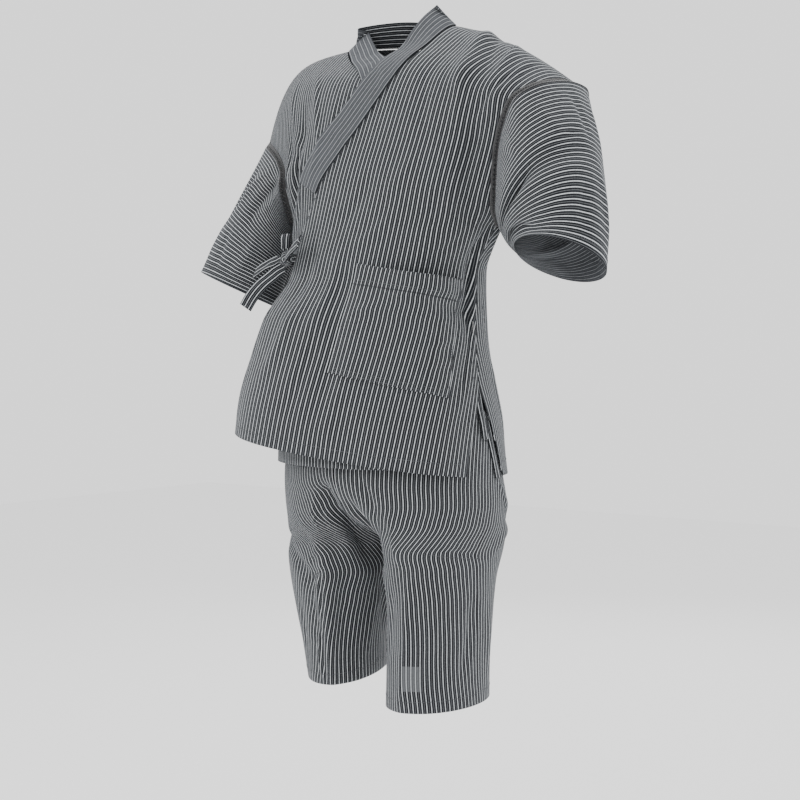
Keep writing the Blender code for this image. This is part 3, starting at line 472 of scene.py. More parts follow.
SLEEVE_CREASES = {
    "left": (
        (0.12, 0.50, 0.30, 0.42, 0.006, -0.0050, 0.6),
        (0.30, 0.42, 0.48, 0.30, 0.006, -0.0048, 0.5),
        (0.14, 0.60, 0.34, 0.58, 0.006, 0.0034, -0.5),
        (0.08, 0.76, 0.24, 0.70, 0.006, -0.0036, 0.5),
        (0.26, 0.90, 0.32, 0.55, 0.008, 0.0030, 0.4),
        (0.40, 0.95, 0.46, 0.60, 0.009, -0.0030, -0.4),
        (0.54, 0.92, 0.52, 0.50, 0.009, 0.0028, 0.4),
        (0.34, 0.06, 0.40, 0.34, 0.007, 0.0030, 0.5),
        (0.44, 0.04, 0.50, 0.40, 0.007, -0.0030, -0.5),
        (0.56, 0.05, 0.58, 0.42, 0.008, 0.0028, 0.4),
        (0.20, 0.08, 0.28, 0.34, 0.006, 0.0030, -0.5),
        (0.64, 0.34, 0.84, 0.48, 0.007, -0.0044, 0.5),
        (0.70, 0.56, 0.90, 0.68, 0.007, 0.0030, -0.4),
        (0.68, 0.95, 0.66, 0.66, 0.009, 0.0028, 0.4),
        (0.80, 0.96, 0.84, 0.74, 0.009, -0.0026, -0.4),
    ),
    "right": (
        (0.14, 0.10, 0.22, 0.50, 0.006, -0.0040, 0.6),
        (0.26, 0.06, 0.32, 0.55, 0.006, 0.0036, -0.5),
        (0.36, 0.08, 0.36, 0.60, 0.007, -0.0034, 0.5),
        (0.46, 0.05, 0.44, 0.52, 0.008, 0.0030, -0.4),
        (0.18, 0.60, 0.22, 0.95, 0.008, 0.0034, 0.5),
        (0.30, 0.66, 0.28, 0.97, 0.008, -0.0030, -0.4),
        (0.42, 0.62, 0.40, 0.95, 0.009, 0.0028, 0.4),
        (0.56, 0.10, 0.60, 0.55, 0.008, 0.0030, 0.4),
        (0.66, 0.34, 0.84, 0.50, 0.007, -0.0040, 0.5),
        (0.72, 0.60, 0.90, 0.72, 0.008, 0.0028, -0.4),
        (0.66, 0.95, 0.64, 0.66, 0.009, 0.0026, 0.4),
        (0.82, 0.96, 0.84, 0.76, 0.009, -0.0024, -0.4),
    ),
}
SHORTS_CREASES = {
    "left": (
        (0.06, 6.0, 0.14, 4.8, 0.006, -0.0040, 0.5),
        (0.14, 4.8, 0.13, 3.3, 0.007, -0.0044, -0.5),
        (0.17, 5.0, 0.24, 3.6, 0.007, 0.0034, 0.5),
        (0.29, 5.8, 0.32, 3.9, 0.007, 0.0034, -0.4),
        (0.25, 4.2, 0.49, 3.8, 0.005, -0.0030, 0.5),
        (0.55, 5.8, 0.64, 4.6, 0.008, 0.0040, 0.5),
        (0.64, 4.7, 0.51, 3.8, 0.008, 0.0036, -0.5),
        (0.06, 3.6, 0.18, 2.6, 0.007, 0.0032, 0.5),
        (0.20, 3.0, 0.16, 1.2, 0.009, -0.0030, 0.4),
        (0.37, 2.8, 0.35, 0.6, 0.008, 0.0032, -0.5),
        (0.47, 3.0, 0.44, 0.8, 0.009, -0.0034, 0.4),
        (0.56, 2.6, 0.58, 0.5, 0.009, 0.0032, -0.4),
        (0.66, 3.6, 0.72, 1.6, 0.010, -0.0034, 0.5),
        (0.78, 4.6, 0.90, 3.2, 0.008, 0.0036, 0.5),
        (0.88, 3.4, 0.80, 1.8, 0.009, -0.0034, -0.5),
        (0.84, 1.8, 0.86, 0.4, 0.010, 0.0030, 0.4),
        (0.70, 5.8, 0.82, 4.4, 0.008, -0.0034, 0.5),
        (0.05, 1.8, 0.08, 0.4, 0.009, 0.0026, -0.4),
    ),
    "right": (
        (0.25, 3.5, 0.26, 1.8, 0.0045, 0.0050, 0.7),
        (0.26, 1.9, 0.27, 0.0, 0.0045, 0.0048, 0.7),
        (0.00, 5.7, 0.15, 4.6, 0.006, -0.0040, 0.5),
        (0.15, 4.7, 0.34, 2.5, 0.007, -0.0036, -0.5),
        (0.06, 5.4, 0.33, 3.1, 0.007, 0.0034, 0.5),
        (0.29, 4.4, 0.45, 3.8, 0.007, -0.0034, 0.4),
        (0.17, 3.5, 0.19, 1.3, 0.008, -0.0040, 0.5),
        (0.11, 3.4, 0.02, 0.9, 0.008, -0.0034, -0.4),
        (0.07, 2.8, 0.10, 0.8, 0.008, 0.0032, 0.4),
        (0.36, 2.6, 0.38, 0.6, 0.009, -0.0032, -0.4),
        (0.50, 3.2, 0.48, 1.0, 0.010, 0.0032, 0.4),
        (0.60, 4.4, 0.66, 2.4, 0.009, -0.0034, 0.5),
        (0.72, 5.6, 0.84, 4.2, 0.008, 0.0036, -0.5),
        (0.82, 4.0, 0.76, 2.2, 0.009, -0.0034, 0.4),
        (0.88, 2.6, 0.84, 0.6, 0.010, 0.0030, -0.4),
        (0.66, 2.0, 0.66, 0.3, 0.010, 0.0028, 0.4),
    ),
}
# Wrinkles of the pocket, in its own width and height.
POCKET_CREASES = (
    (0.36, 0.74, 0.72, 0.84, 0.006, 0.0030, 0.5),
    (0.52, 0.62, 0.96, 0.72, 0.006, -0.0028, 0.5),
    (0.50, 0.36, 0.98, 0.50, 0.006, 0.0026, -0.5),
    (0.08, 0.56, 0.34, 0.66, 0.007, 0.0022, 0.4),
    (0.16, 0.26, 0.42, 0.32, 0.008, -0.0020, -0.4),
    (0.60, 0.16, 0.92, 0.26, 0.007, 0.0022, 0.4),
)
COLLAR_CREASES = (
    (0.0, 0.18, 1.0, 0.21, 0.008, 0.0016, 0.4),
    (0.0, 0.33, 1.0, 0.31, 0.007, -0.0014, -0.4),
    (0.0, 0.42, 1.0, 0.44, 0.007, 0.0018, 0.4),
    (0.0, 0.58, 1.0, 0.56, 0.007, 0.0016, -0.4),
    (0.0, 0.72, 1.0, 0.74, 0.008, -0.0016, 0.4),
    (0.0, 0.86, 1.0, 0.84, 0.008, 0.0014, 0.4),
)


def steady(values, at):
    """A smooth line through the values of a table's column that never swings past them."""
    values = np.asarray(values, float)
    at = np.clip(np.asarray(at, float), 0, len(values) - 1)
    step = np.diff(values)
    slope = np.empty_like(values)
    slope[0] = step[0]
    slope[-1] = step[-1]
    product = step[:-1] * step[1:]
    total = step[:-1] + step[1:]
    safe = np.where(product > 0, total, 1.0)
    slope[1:-1] = np.where(product > 0, 2 * product / safe, 0.0)
    i = np.minimum(at.astype(int), len(values) - 2)
    f = at - i
    rise = step[i]
    return (
        values[i]
        + slope[i] * f
        + (3 * rise - 2 * slope[i] - slope[i + 1]) * f**2
        + (slope[i] + slope[i + 1] - 2 * rise) * f**3
    )


def smoothstep(x):
    x = np.clip(x, 0, 1)
    return x * x * (3 - 2 * x)


def station_column(rows, columns, name, t):
    """Reads a column in three stretches, so that the side seam stays straight up to the armpit."""
    k = columns.index(name)
    values = [row[k] for row in rows.values()]
    low = steady(values[: UNDER_ARM + 1], np.minimum(t, UNDER_ARM))
    mid = steady(values[UNDER_ARM : BACK_UNDER_ARM + 1], t - UNDER_ARM)
    high = steady(values[BACK_UNDER_ARM:], t - BACK_UNDER_ARM)
    return np.where(t <= UNDER_ARM, low, np.where(t <= BACK_UNDER_ARM, mid, high))


def body(name, t):
    return station_column(BODY_ROWS, BODY_COLUMNS, name, t)


def reach(name, t):
    return station_column(REACH_ROWS, REACH_COLUMNS, name, t)


def plain_body(p, t):
    """The jacket's surface without folds, as an array of points. p goes from side to side."""
    p, t = np.broadcast_arrays(np.asarray(p, float), np.asarray(t, float))
    s = np.abs(p)
    left = p >= 0
    turn = np.radians(body("turn", t))
    across = np.sin(turn * s) / np.sin(turn)
    depth = (np.cos(turn * s) - np.cos(turn)) / (1 - np.cos(turn))
    near = np.exp(-(((t - RIDGE) / 1.7) ** 2))
    steep = np.where(left, 1.0, near) * (SHOULDER_FALL["right"] - SHOULDER_FALL["left"])
    steep = SHOULDER_FALL["left"] + np.where(left, 0.0, steep)
    fall = np.clip((s - SHOULDER_FLAT) / (1 - SHOULDER_FLAT), 0, 1.2) ** steep
    side = {
        axis: np.where(left, body(axis + "_left", t), body(axis + "_right", t)) for axis in "xyz"
    }
    x = body("x_mid", t) + np.where(left, 1, -1) * side["x"] * across
    y = side["y"] + (body("y_mid", t) - side["y"]) * depth
    z_mid = body("z_mid", t)
    tilt = SHOULDER_TILT * p * np.exp(-(((t - RIDGE) / 1.6) ** 2)) * (1 - fall)
    z = z_mid + (side["z"] - z_mid) * fall + tilt
    return np.stack([x, y, z], -1)


def surface_normals(surface, a, b, step=0.004):
    along_a = surface(a + step, b) - surface(a - step, b)
    along_b = surface(a, b + step) - surface(a, b - step)
    normal = np.cross(along_a, along_b)
    return normal / np.maximum(np.linalg.norm(normal, axis=-1, keepdims=True), 1e-12)


def fold_height(a, b, folds):
    """The height of the folds at places in a flat chart, in metres. Each fold fades at its ends."""
    total = np.zeros(np.broadcast(a, b).shape)
    for a0, b0, a1, b1, half_width, height in folds:
        run = math.hypot(a1 - a0, b1 - b0)
        along = ((a - a0) * (a1 - a0) + (b - b0) * (b1 - b0)) / run
        off = ((a - a0) * (b1 - b0) - (b - b0) * (a1 - a0)) / run
        share = along / run
        fade = smoothstep((share + 0.15) / 0.4) * smoothstep((1.15 - share) / 0.4)
        total = total + height * fade * np.exp(-((off / half_width) ** 2))
    return total


def crease_height(a, b, rows):
    """Like fold_height, for rows with a lean, which makes one side of a crease steeper."""
    total = np.zeros(np.broadcast(a, b).shape)
    for a0, b0, a1, b1, half_width, height, lean in rows:
        run = math.hypot(a1 - a0, b1 - b0)
        share = ((a - a0) * (a1 - a0) + (b - b0) * (b1 - b0)) / run**2
        bow = 0.10 * lean * run * (share - share**2) * 4
        off = ((a - a0) * (b1 - b0) - (b - b0) * (a1 - a0)) / run + bow
        width = half_width * (1 - 0.45 * lean * np.sign(off))
        fade = smoothstep((share + 0.12) / 0.5) * smoothstep((1.12 - share) / 0.5)
        total = total + height * fade * np.exp(-((off / width) ** 2))
    return total


def scaled(rows, scale_a, scale_b):
    """Rows of places turned into metres of the flat chart. A scale is a number or a function."""
    to_a = scale_a if callable(scale_a) else lambda x: x * scale_a
    to_b = scale_b if callable(scale_b) else lambda x: x * scale_b
    return [(to_a(a0), to_b(b0), to_a(a1), to_b(b1), *rest) for a0, b0, a1, b1, *rest in rows]


def path_table():
    """The length along the body's surface at a third of its width, from the front hem."""
    places = np.linspace(0, LAST, 161)
    points = plain_body(np.full_like(places, 0.35), places)
    steps = np.linalg.norm(np.diff(points, axis=0), axis=1)
    return places, np.concatenate([[0], np.cumsum(steps)])


PATH_PLACES, PATH_LENGTHS = path_table()


def path_length(t):
    return np.interp(t, PATH_PLACES, PATH_LENGTHS)


BODY_FOLDS_FLAT = scaled(BODY_FOLDS, CHART_WIDTH, path_length)
BODY_CREASES_FLAT = scaled(BODY_CREASES, CHART_WIDTH, path_length)


def body_folds(p, t):
    across = p * CHART_WIDTH
    along = path_length(t)
    return fold_height(across, along, BODY_FOLDS_FLAT) + crease_height(across, along, BODY_CREASES_FLAT)


def folded_body(p, t):
    p, t = np.broadcast_arrays(np.asarray(p, float), np.asarray(t, float))
    height = body_folds(p, t) * smoothstep((1 - np.abs(p)) / 0.06)
    return plain_body(p, t) + surface_normals(plain_body, p, t) * height[..., None]


def outer_front(p, t, over=0.0):
    """The outer front's surface: lifted off the inner front, slanted at the hem and flared."""
    p, t = np.broadcast_arrays(np.asarray(p, float), np.asarray(t, float))
    edge = reach("left_edge", t)
    side = reach("left_side", t)
    inward = (side - p) / (side - edge)
    normal = surface_normals(plain_body, p, t)
    lift = OVERLAP_LIFT * reach("lift", t) * smoothstep((0.86 - p) / 0.25)
    flare = reach("flare", t) * smoothstep((inward - 0.42) / 0.58)
    points = folded_body(p, t) + normal * (lift + flare + over)[..., None]
    points[..., 2] += reach("slant", t) * inward**1.3 - 0.010 * reach("slant", t) / 0.045
    return points


def left_at(j, t):
    """The left body half: j goes from its edge, or the centre back, to its side."""
    edge = reach("left_edge", t)
    side = reach("left_side", t) - 0.0008
    return outer_front(edge + (side - edge) * j, t)


def right_at(j, t):
    edge = reach("right_edge", t)
    side = reach("right_side", t) + 0.0008
    return folded_body(edge + (side - edge) * j, t)


def station_of_row(row):
    return np.interp(row, ROW_COUNTS, ROW_STATIONS)


def panel_at(side, j, t):
    return left_at(j, t) if side == "left" else right_at(j, t)


def armhole(side, w):
    """The body's armhole edge, from the underarm forward, over the top and down the back."""
    w = np.asarray(w, float)
    t = station_of_row(ROW_COUNTS[2] + (ROW_COUNTS[5] - ROW_COUNTS[2]) * w)
    return panel_at(side, np.ones_like(w), t)


def lace_direction(side, w):
    """The way from the body across the lace to the sleeve, square to the armhole's edge."""
    under, over = (np.array(v) for v in SLEEVE_RINGS[side]["lace"])
    share = smoothstep(np.minimum(w, 1 - w) / 0.22)[..., None]
    way = under * (1 - share) + over * share
    along = armhole(side, np.clip(w + 0.01, 0, 1)) - armhole(side, np.clip(w - 0.01, 0, 1))
    along /= np.linalg.norm(along, axis=-1, keepdims=True)
    way = way - 0.8 * share * along * (way * along).sum(-1, keepdims=True)
    t = station_of_row(ROW_COUNTS[2] + (ROW_COUNTS[5] - ROW_COUNTS[2]) * w)
    normal = surface_normals(plain_body, np.full_like(t, 0.97 if side == "left" else -0.97), t)
    way = way + normal * np.maximum(0.0, 0.35 - (way * normal).sum(-1, keepdims=True))
    return way / np.linalg.norm(way, axis=-1, keepdims=True)


def sleeve_ring(side, which, w):
    centre, outward, forward = (np.array(v) for v in SLEEVE_RINGS[side][which])
    scale = SLEEVE_RADIUS if which == "cuff" else 1.0
    angle = 2 * np.pi * np.asarray(w, float)[..., None]
    return centre + scale * (forward * np.sin(angle) - outward * np.cos(angle))


def plain_sleeve(side, w, v):
    w, v = np.broadcast_arrays(np.asarray(w, float), np.asarray(v, float))
    start = armhole(side, w) + lace_direction(side, w) * (LACE_WIDTH + 2 * LACE_CLEAR)
    middle = sleeve_ring(side, "middle", w)
    cuff = sleeve_ring(side, "cuff", w)
    v = v[..., None]
    return start * (1 - v) * (1 - 2 * v) + middle * 4 * v * (1 - v) + cuff * v * (2 * v - 1)


def sleeve_at(side, w, v):
    w, v = np.broadcast_arrays(np.asarray(w, float), np.asarray(v, float))
    a, b = w * SLEEVE_CHART, v * SLEEVE_LENGTH
    height = fold_height(a, b, scaled(SLEEVE_FOLDS[side], SLEEVE_CHART, SLEEVE_LENGTH))
    height = height + crease_height(a, b, scaled(SLEEVE_CREASES[side], SLEEVE_CHART, SLEEVE_LENGTH))
    height = height * smoothstep(v / 0.15)
    normal = surface_normals(lambda a, b: plain_sleeve(side, a, b), w, v)
    outward = -1 if side == "left" else 1
    return plain_sleeve(side, w, v) + normal * outward * height[..., None]


def shorts_column(side, name, h):
    k = SHORTS_COLUMNS.index(name)
    return steady([row[k] for row in SHORTS_ROWS[side]], h)


def plain_shorts(side, w, h):
    """One half of the shorts: w goes from the centre front or the front of the inseam, round
    the outside, to the centre back. h goes from the leg's hem to the waist."""
    w, h = np.broadcast_arrays(np.asarray(w, float), np.asarray(h, float))
    sign = 1 if side == "left" else -1
    angle = np.pi * w
    front = shorts_column(side, "front", h)
    back = shorts_column(side, "back", h)
    hip_x = sign * shorts_column(side, "half_width", h) * np.sin(angle)
    hip_y = np.where(w < 0.5, -front, -back) * np.cos(angle)
    turn = 2 * np.pi * w
    across = -shorts_column(side, "across", h) * np.cos(turn) * sign
    along = -shorts_column(side, "along", h) * np.sin(turn)
    yaw = math.radians(LEG_YAW[side])
    leg_x = shorts_column(side, "x", h) + across * math.cos(yaw) - along * math.sin(yaw)
    leg_y = shorts_column(side, "y", h) + across * math.sin(yaw) + along * math.cos(yaw)
    hip = shorts_column(side, "hip", h)
    x = hip_x * hip + leg_x * (1 - hip)
    x = sign * np.maximum(sign * x, HALF_SEAM) + HIP_SHIFT * hip
    y = hip_y * hip + leg_y * (1 - hip)
    z = shorts_column(side, "z", h) + HEM_RISE[side] * (y + 0.08) * (1 - smoothstep(h / 3))
    return np.stack([x, y, z], -1)


def shorts_at(side, w, h):
    w, h = np.broadcast_arrays(np.asarray(w, float), np.asarray(h, float))
    a, b = w * SHORTS_CHART, h * SHORTS_STEP
    height = fold_height(a, b, scaled(SHORTS_FOLDS[side], SHORTS_CHART, SHORTS_STEP))
    height = height + crease_height(a, b, scaled(SHORTS_CREASES[side], SHORTS_CHART, SHORTS_STEP))
    height = height * smoothstep(w / 0.05) * smoothstep((1 - w) / 0.05)
    normal = surface_normals(lambda a, b: plain_shorts(side, a, b), w, h)
    outward = 1 if side == "left" else -1
    return plain_shorts(side, w, h) + normal * outward * height[..., None]


def walk(surface, p, t, heading, distance, steps=3):
    """Goes from places on a surface along headings that are kept flat to it."""
    for _ in range(steps):
        along_p = (surface(p + 0.004, t) - surface(p - 0.004, t)) / 0.008
        along_t = (surface(p, t + 0.004) - surface(p, t - 0.004)) / 0.008
        pp = (along_p * along_p).sum(-1)
        pt = (along_p * along_t).sum(-1)
        tt = (along_t * along_t).sum(-1)
        hp = (heading * along_p).sum(-1)
        ht = (heading * along_t).sum(-1)
        scale = pp * tt - pt * pt
        step_p = (hp * tt - ht * pt) / scale
        step_t = (ht * pp - hp * pt) / scale
        size = np.linalg.norm(along_p * step_p[:, None] + along_t * step_t[:, None], axis=1)
        p = p + step_p * distance / steps / size
        t = t + step_t * distance / steps / size
    return p, t


def collar_route(v):
    """Reach and station of the collar's seam, from the left end round the neck to the right one."""
    v = np.asarray(v, float)
    left = v <= 0.5
    t = np.where(
        left,
        COLLAR_LOW["left"] + (NECK_STATION - COLLAR_LOW["left"]) * 2 * v,
        NECK_STATION - (NECK_STATION - COLLAR_LOW["right"]) * (2 * v - 1),
    )
    edge = np.where(left, reach("left_edge", t), reach("right_edge", t))
    return np.where(t > NECK_STATION - 0.001, 0.0, edge), t, left


def collar_at(u, v):
    """u goes from the seam to the neck edge, v along the band."""
    p, t, left = collar_route(v)
    before = plain_body(*collar_route(v - 0.004)[:2])
    after = plain_body(*collar_route(v + 0.004)[:2])
    tangent = after - before
    tangent /= np.linalg.norm(tangent, axis=1, keepdims=True)
    normal = surface_normals(plain_body, p, t)
    inside = np.cross(normal, tangent)
    inside /= np.linalg.norm(inside, axis=1, keepdims=True)
    share = smoothstep((t - 8.0) / 1.4)
    lap = COLLAR_LAP * (1 - share) - COLLAR_CLEAR * share
    reachable = u * (COLLAR_WIDTH + lap) - lap
    far_p, far_t = walk(plain_body, p, t, inside, reachable)
    crease = crease_height(u * COLLAR_WIDTH, v, scaled(COLLAR_CREASES, COLLAR_WIDTH, 1.0))
    lift = np.where(left, OVERLAP_LIFT * reach("lift", t), 0.0) + COLLAR_LIFT + crease
    lying = folded_body(far_p, far_t) + surface_normals(plain_body, far_p, far_t) * lift[:, None]
    shoulder = smoothstep((t - 8.0) / 2.0) * COLLAR_STAND["shoulder"]
    back = smoothstep(t - RIDGE) * (COLLAR_STAND["back"] - COLLAR_STAND["shoulder"])
    stand = np.radians(shoulder + back)
    level = inside * (1.0, 1.0, 0.0)
    level /= np.linalg.norm(level, axis=1, keepdims=True)
    level = level * np.cos(stand)[:, None]
    level[:, 2] = np.sin(stand)
    zero = np.zeros_like(t)
    start = np.where(left[:, None], panel_at("left", zero, t), panel_at("right", zero, t))
    start = start + normal * (COLLAR_LIFT * (1 - share))[:, None]
    standing = start + reachable[:, None] * level
    return lying * (1 - share[:, None]) + standing * share[:, None]


def pocket_at(u, v):
    across = (u - 0.5) * POCKET_WIDTH
    up = (v - 0.5) * POCKET_HEIGHT
    tilt = math.radians(POCKET_TILT)
    round_body = across * math.cos(tilt) + up * math.sin(tilt)
    along_body = up * math.cos(tilt) - across * math.sin(tilt)
    middle_p, middle_height = POCKET_MIDDLE
    places = np.linspace(0, UNDER_ARM, 81)
    t = np.interp(middle_height + along_body, path_length(places), places)
    p = middle_p + round_body / CHART_WIDTH
    gape = POCKET_GAPE * np.exp(-(((u - 0.58) / 0.30) ** 2)) * smoothstep((v - 0.35) / 0.65)
    gape = gape * smoothstep(u / 0.15) * smoothstep((1 - u) / 0.15)
    wrinkle = crease_height(
        u * POCKET_WIDTH, v * POCKET_HEIGHT, scaled(POCKET_CREASES, POCKET_WIDTH, POCKET_HEIGHT)
    )
    inner = smoothstep(u / 0.12) * smoothstep((1 - u) / 0.12) * smoothstep(v / 0.12)
    wrinkle = np.maximum(wrinkle, -0.0006) * inner
    edge = reach("left_edge", t)
    side = reach("left_side", t) - 0.0008
    lying = panel_at("left", (p - edge) / (side - edge), t)
    lift = POCKET_LIFT + gape + wrinkle
    return lying + surface_normals(plain_body, p, t) * lift[:, None]


class Socket:
    """One output of a shader node. Arithmetic on it adds Math nodes to the same tree."""

    def __init__(self, tree, output):
        self.tree = tree
        self.output = output

    def node(self, kind, inputs, out=0, **settings):
        """Adds any node, with its inputs given as {name or number: value or Socket}."""
        made = self.tree.nodes.new(kind)
        for key, value in settings.items():
            setattr(made, key, value)
        for key, value in inputs.items():
            if isinstance(value, Socket):
                self.tree.links.new(value.output, made.inputs[key])
            else:
                made.inputs[key].default_value = value
        return Socket(self.tree, made.outputs[out])

    def math(self, operation, first, second=0.0):
        return self.node("ShaderNodeMath", {0: first, 1: second}, operation=operation)

    def __add__(self, other):
        return self.math("ADD", self, other)

    __radd__ = __add__

    def __sub__(self, other):
        return self.math("SUBTRACT", self, other)

    def __rsub__(self, other):
        return self.math("SUBTRACT", other, self)

    def __mul__(self, other):
        return self.math("MULTIPLY", self, other)

    __rmul__ = __mul__

    def __truediv__(self, other):
        return self.math("DIVIDE", self, other)

    def __rtruediv__(self, other):
        return self.math("DIVIDE", other, self)

    def inside(self, centre, half_width, soft):
        """1 within half_width of a centre, falling to 0 over a soft edge."""
        away = self.math("ABSOLUTE", self - centre)
        share = (half_width + soft - away) / soft
        return self.math("MINIMUM", self.math("MAXIMUM", share, 0.0), 1.0)

    def mix(self, low, high):
        """A colour between two colours, by this value."""
        return self.node("ShaderNodeMix", {0: self, 6: low, 7: high}, out=2, data_type="RGBA")

    def noise(self, vector, scale, detail=2.0):
        inputs = {"Vector": vector, "Scale": scale, "Detail": detail, "Roughness": 0.6}
        return self.node("ShaderNodeTexNoise", inputs, noise_dimensions="2D")


def new_material(name):
    made = bpy.data.materials.new(name)
    made.use_nodes = True
    shader = made.node_tree.nodes["Principled BSDF"]
    return made, shader


def cut_place(tree):
    """The place on the flat cut in metres: across the grain and along it."""
    first = Socket(tree, tree.nodes.new("ShaderNodeUVMap").outputs[0])
    first.output.node.uv_map = "cloth"
    across = first.node("ShaderNodeSeparateXYZ", {0: first}, out=0) / MAP_SCALE
    along = first.node("ShaderNodeSeparateXYZ", {0: first}, out=1) / MAP_SCALE
    return across, along


def stretched(across, along, scale_across, scale_along):
    """A vector for a noise that is finer across the grain than along it, or the other way."""
    inputs = {0: across * scale_across, 1: along * scale_along, 2: 0.0}
    return across.node("ShaderNodeCombineXYZ", inputs)


def cloth_material(name, ground, stripe, marks=(), pitch_share=1.0):
    """Yarn-dyed striped cotton. Marks are ((across, half), (along, half), strength, colour)."""
    settings = bpy.context.scene.jinbei_cloth
    made, shader = new_material(name)
    across, along = cut_place(made.node_tree)
    slub = across.noise(stretched(across, along, 900.0, 30.0), 1.0)
    cloud = across.noise(stretched(across, along, 9.0, 7.0), 1.0, 3.0)
    wander = across.noise(stretched(across, along, 14.0, 14.0), 1.0)
    shift = (wander - 0.5) * 0.0006
    pitch = settings.stripe_pitch * pitch_share
    phase = (across + shift) / pitch + 40.0
    half = 0.5 * settings.stripe_width / pitch
    main = phase.math("FRACT", phase).inside(0.5, half, 0.05)
    faint = phase.math("FRACT", phase + 0.5).inside(0.5, half * 0.6, 0.04)
    broken = across.noise(stretched(across, along, 160.0, 420.0), 1.0)
    dots = across.noise(stretched(across, along, 400.0, 900.0), 1.0)
    line = main * (0.45 + 1.0 * broken) + faint * 0.34 * dots
    dark = tuple(0.62 * c for c in ground[:3]) + (1.0,)
    light = tuple(1.45 * c for c in ground[:3]) + (1.0,)
    tone = slub * 0.6 + cloud * 0.4
    tone = tone.math("MINIMUM", tone.math("MAXIMUM", (tone - 0.3) * 2.2, 0.0), 1.0)
    colour = line.math("MINIMUM", line, 1.0).mix(tone.mix(dark, light), stripe)
    for (mark_across, half_across), (mark_along, half_along), strength, paint in marks:
        share = None
        if half_across:
            share = across.inside(mark_across, half_across, 0.0006)
        if half_along:
            other = along.inside(mark_along, half_along, 0.0006)
            share = other if share is None else share * other
        colour = (share * strength).mix(colour, paint)
    made.node_tree.links.new(colour.output, shader.inputs["Base Color"])
    thread = settings.thread_pitch
    weft = along.math("SINE", along * (2 * math.pi / thread))
    warp = across.math("SINE", across * (2 * math.pi / thread))
    pucker = across.noise(stretched(across, along, 240.0, 120.0), 1.0, 3.0)
    rumple = across.noise(stretched(across, along, 55.0, 34.0), 1.0, 3.0)
    height = weft * warp * 0.00005 + pucker * (0.0006 * settings.crinkle) + slub * 0.0002
    height = height + rumple * (0.0022 * settings.crinkle)
    bump = across.node("ShaderNodeBump", {"Height": height, "Strength": 1.0, "Distance": 1.0})
    made.node_tree.links.new(bump.output, shader.inputs["Normal"])
    rough = 0.84 + slub * 0.14 - line * 0.06
    made.node_tree.links.new(rough.output, shader.inputs["Roughness"])
    shader.inputs["Sheen Weight"].default_value = settings.sheen
    shader.inputs["Sheen Roughness"].default_value = 0.55
    shader.inputs["Sheen Tint"].default_value = (0.72, 0.76, 0.82, 1.0)
    shader.inputs["Specular IOR Level"].default_value = 0.22
    return made


def thread_material(name, colour, pitch):
    """Twisted thread: a slanting ply along its length and a little fuzz."""
    made, shader = new_material(name)
    across, along = cut_place(made.node_tree)
    ply = across.math("SINE", (along + across * 0.7) * (2 * math.pi / pitch))
    fuzz = across.noise(stretched(across, along, 1500.0, 700.0), 1.0, 3.0)
    dark = tuple(0.55 * c for c in colour[:3]) + (1.0,)
    tint = ply * 0.3 + fuzz * 0.7
    colour = tint.math("MINIMUM", tint.math("MAXIMUM", tint, 0.0), 1.0).mix(dark, colour)
    made.node_tree.links.new(colour.output, shader.inputs["Base Color"])
    bump = across.node("ShaderNodeBump", {"Height": ply * 0.00008 + fuzz * 0.0002, "Distance": 1.0})
    made.node_tree.links.new(bump.output, shader.inputs["Normal"])
    rough = 0.62 + fuzz * 0.25
    made.node_tree.links.new(rough.output, shader.inputs["Roughness"])
    shader.inputs["Sheen Weight"].default_value = 0.2
    return made


GROUND = (0.0045, 0.0057, 0.0078, 1.0)
STRIPE = (0.52, 0.54, 0.56, 1.0)
INNER_GROUND = (0.045, 0.048, 0.054, 1.0)
INNER_STRIPE = (0.24, 0.25, 0.26, 1.0)
SEAM_DARK = (0.010, 0.011, 0.013, 1.0)
PALE_PATCH = (0.20, 0.21, 0.22, 1.0)
LACE_BLACK = (0.012, 0.012, 0.014, 1.0)
THREAD_GREY = (0.075, 0.080, 0.090, 1.0)
THREAD_WHITE = (0.72, 0.72, 0.70, 1.0)


def place_piece(made, nodes, slot=None):
    """Puts a made object in the scene, on the root body and in the place of its nodes."""
    if made.name not in bpy.context.scene.collection.objects:
        bpy.context.scene.collection.objects.link(made)
    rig.ride(made, "root")
    if nodes:
        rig.replaces(made, *nodes)
    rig.slot(made, slot or nodes[0])
    return made


def grid_faces(columns, rows, flip):
    corner = np.arange(rows)[:, None] * (columns + 1) + np.arange(columns)[None, :]
    corner = corner.ravel()
    order = (0, columns + 1, columns + 2, 1) if flip else (0, 1, columns + 2, columns + 1)
    return np.stack([corner + k for k in order], -1)


def mesh_of(name, points, faces, cut):
    """A mesh with a map of its flat cut. cut holds metres across and along for every point."""
    if not np.isfinite(points).all():
        raise RuntimeError(name + " has a place that is not a number")
    mesh = bpy.data.meshes.new(name)
    mesh.from_pydata(points.tolist(), [], faces.tolist())
    layer = mesh.uv_layers.new(name="cloth")
    cut = cut - cut.min(axis=0)
    layer.data.foreach_set("uv", (cut[faces.ravel()] * MAP_SCALE + 0.004).ravel())
    mesh.shade_smooth()
    return mesh


def flat_cut(points, across_points=None):
    """Metres across and along each row and column of a grid, as lengths on the cloth itself."""
    across = np.zeros(points.shape[:2])
    across[:, 1:] = np.cumsum(np.linalg.norm(np.diff(points, axis=1), axis=2), axis=1)
    along = np.zeros(points.shape[:2])
    steps = np.linalg.norm(np.diff(points, axis=0), axis=2).mean(axis=1)
    along[1:] = np.cumsum(steps)[:, None]
    return across, along


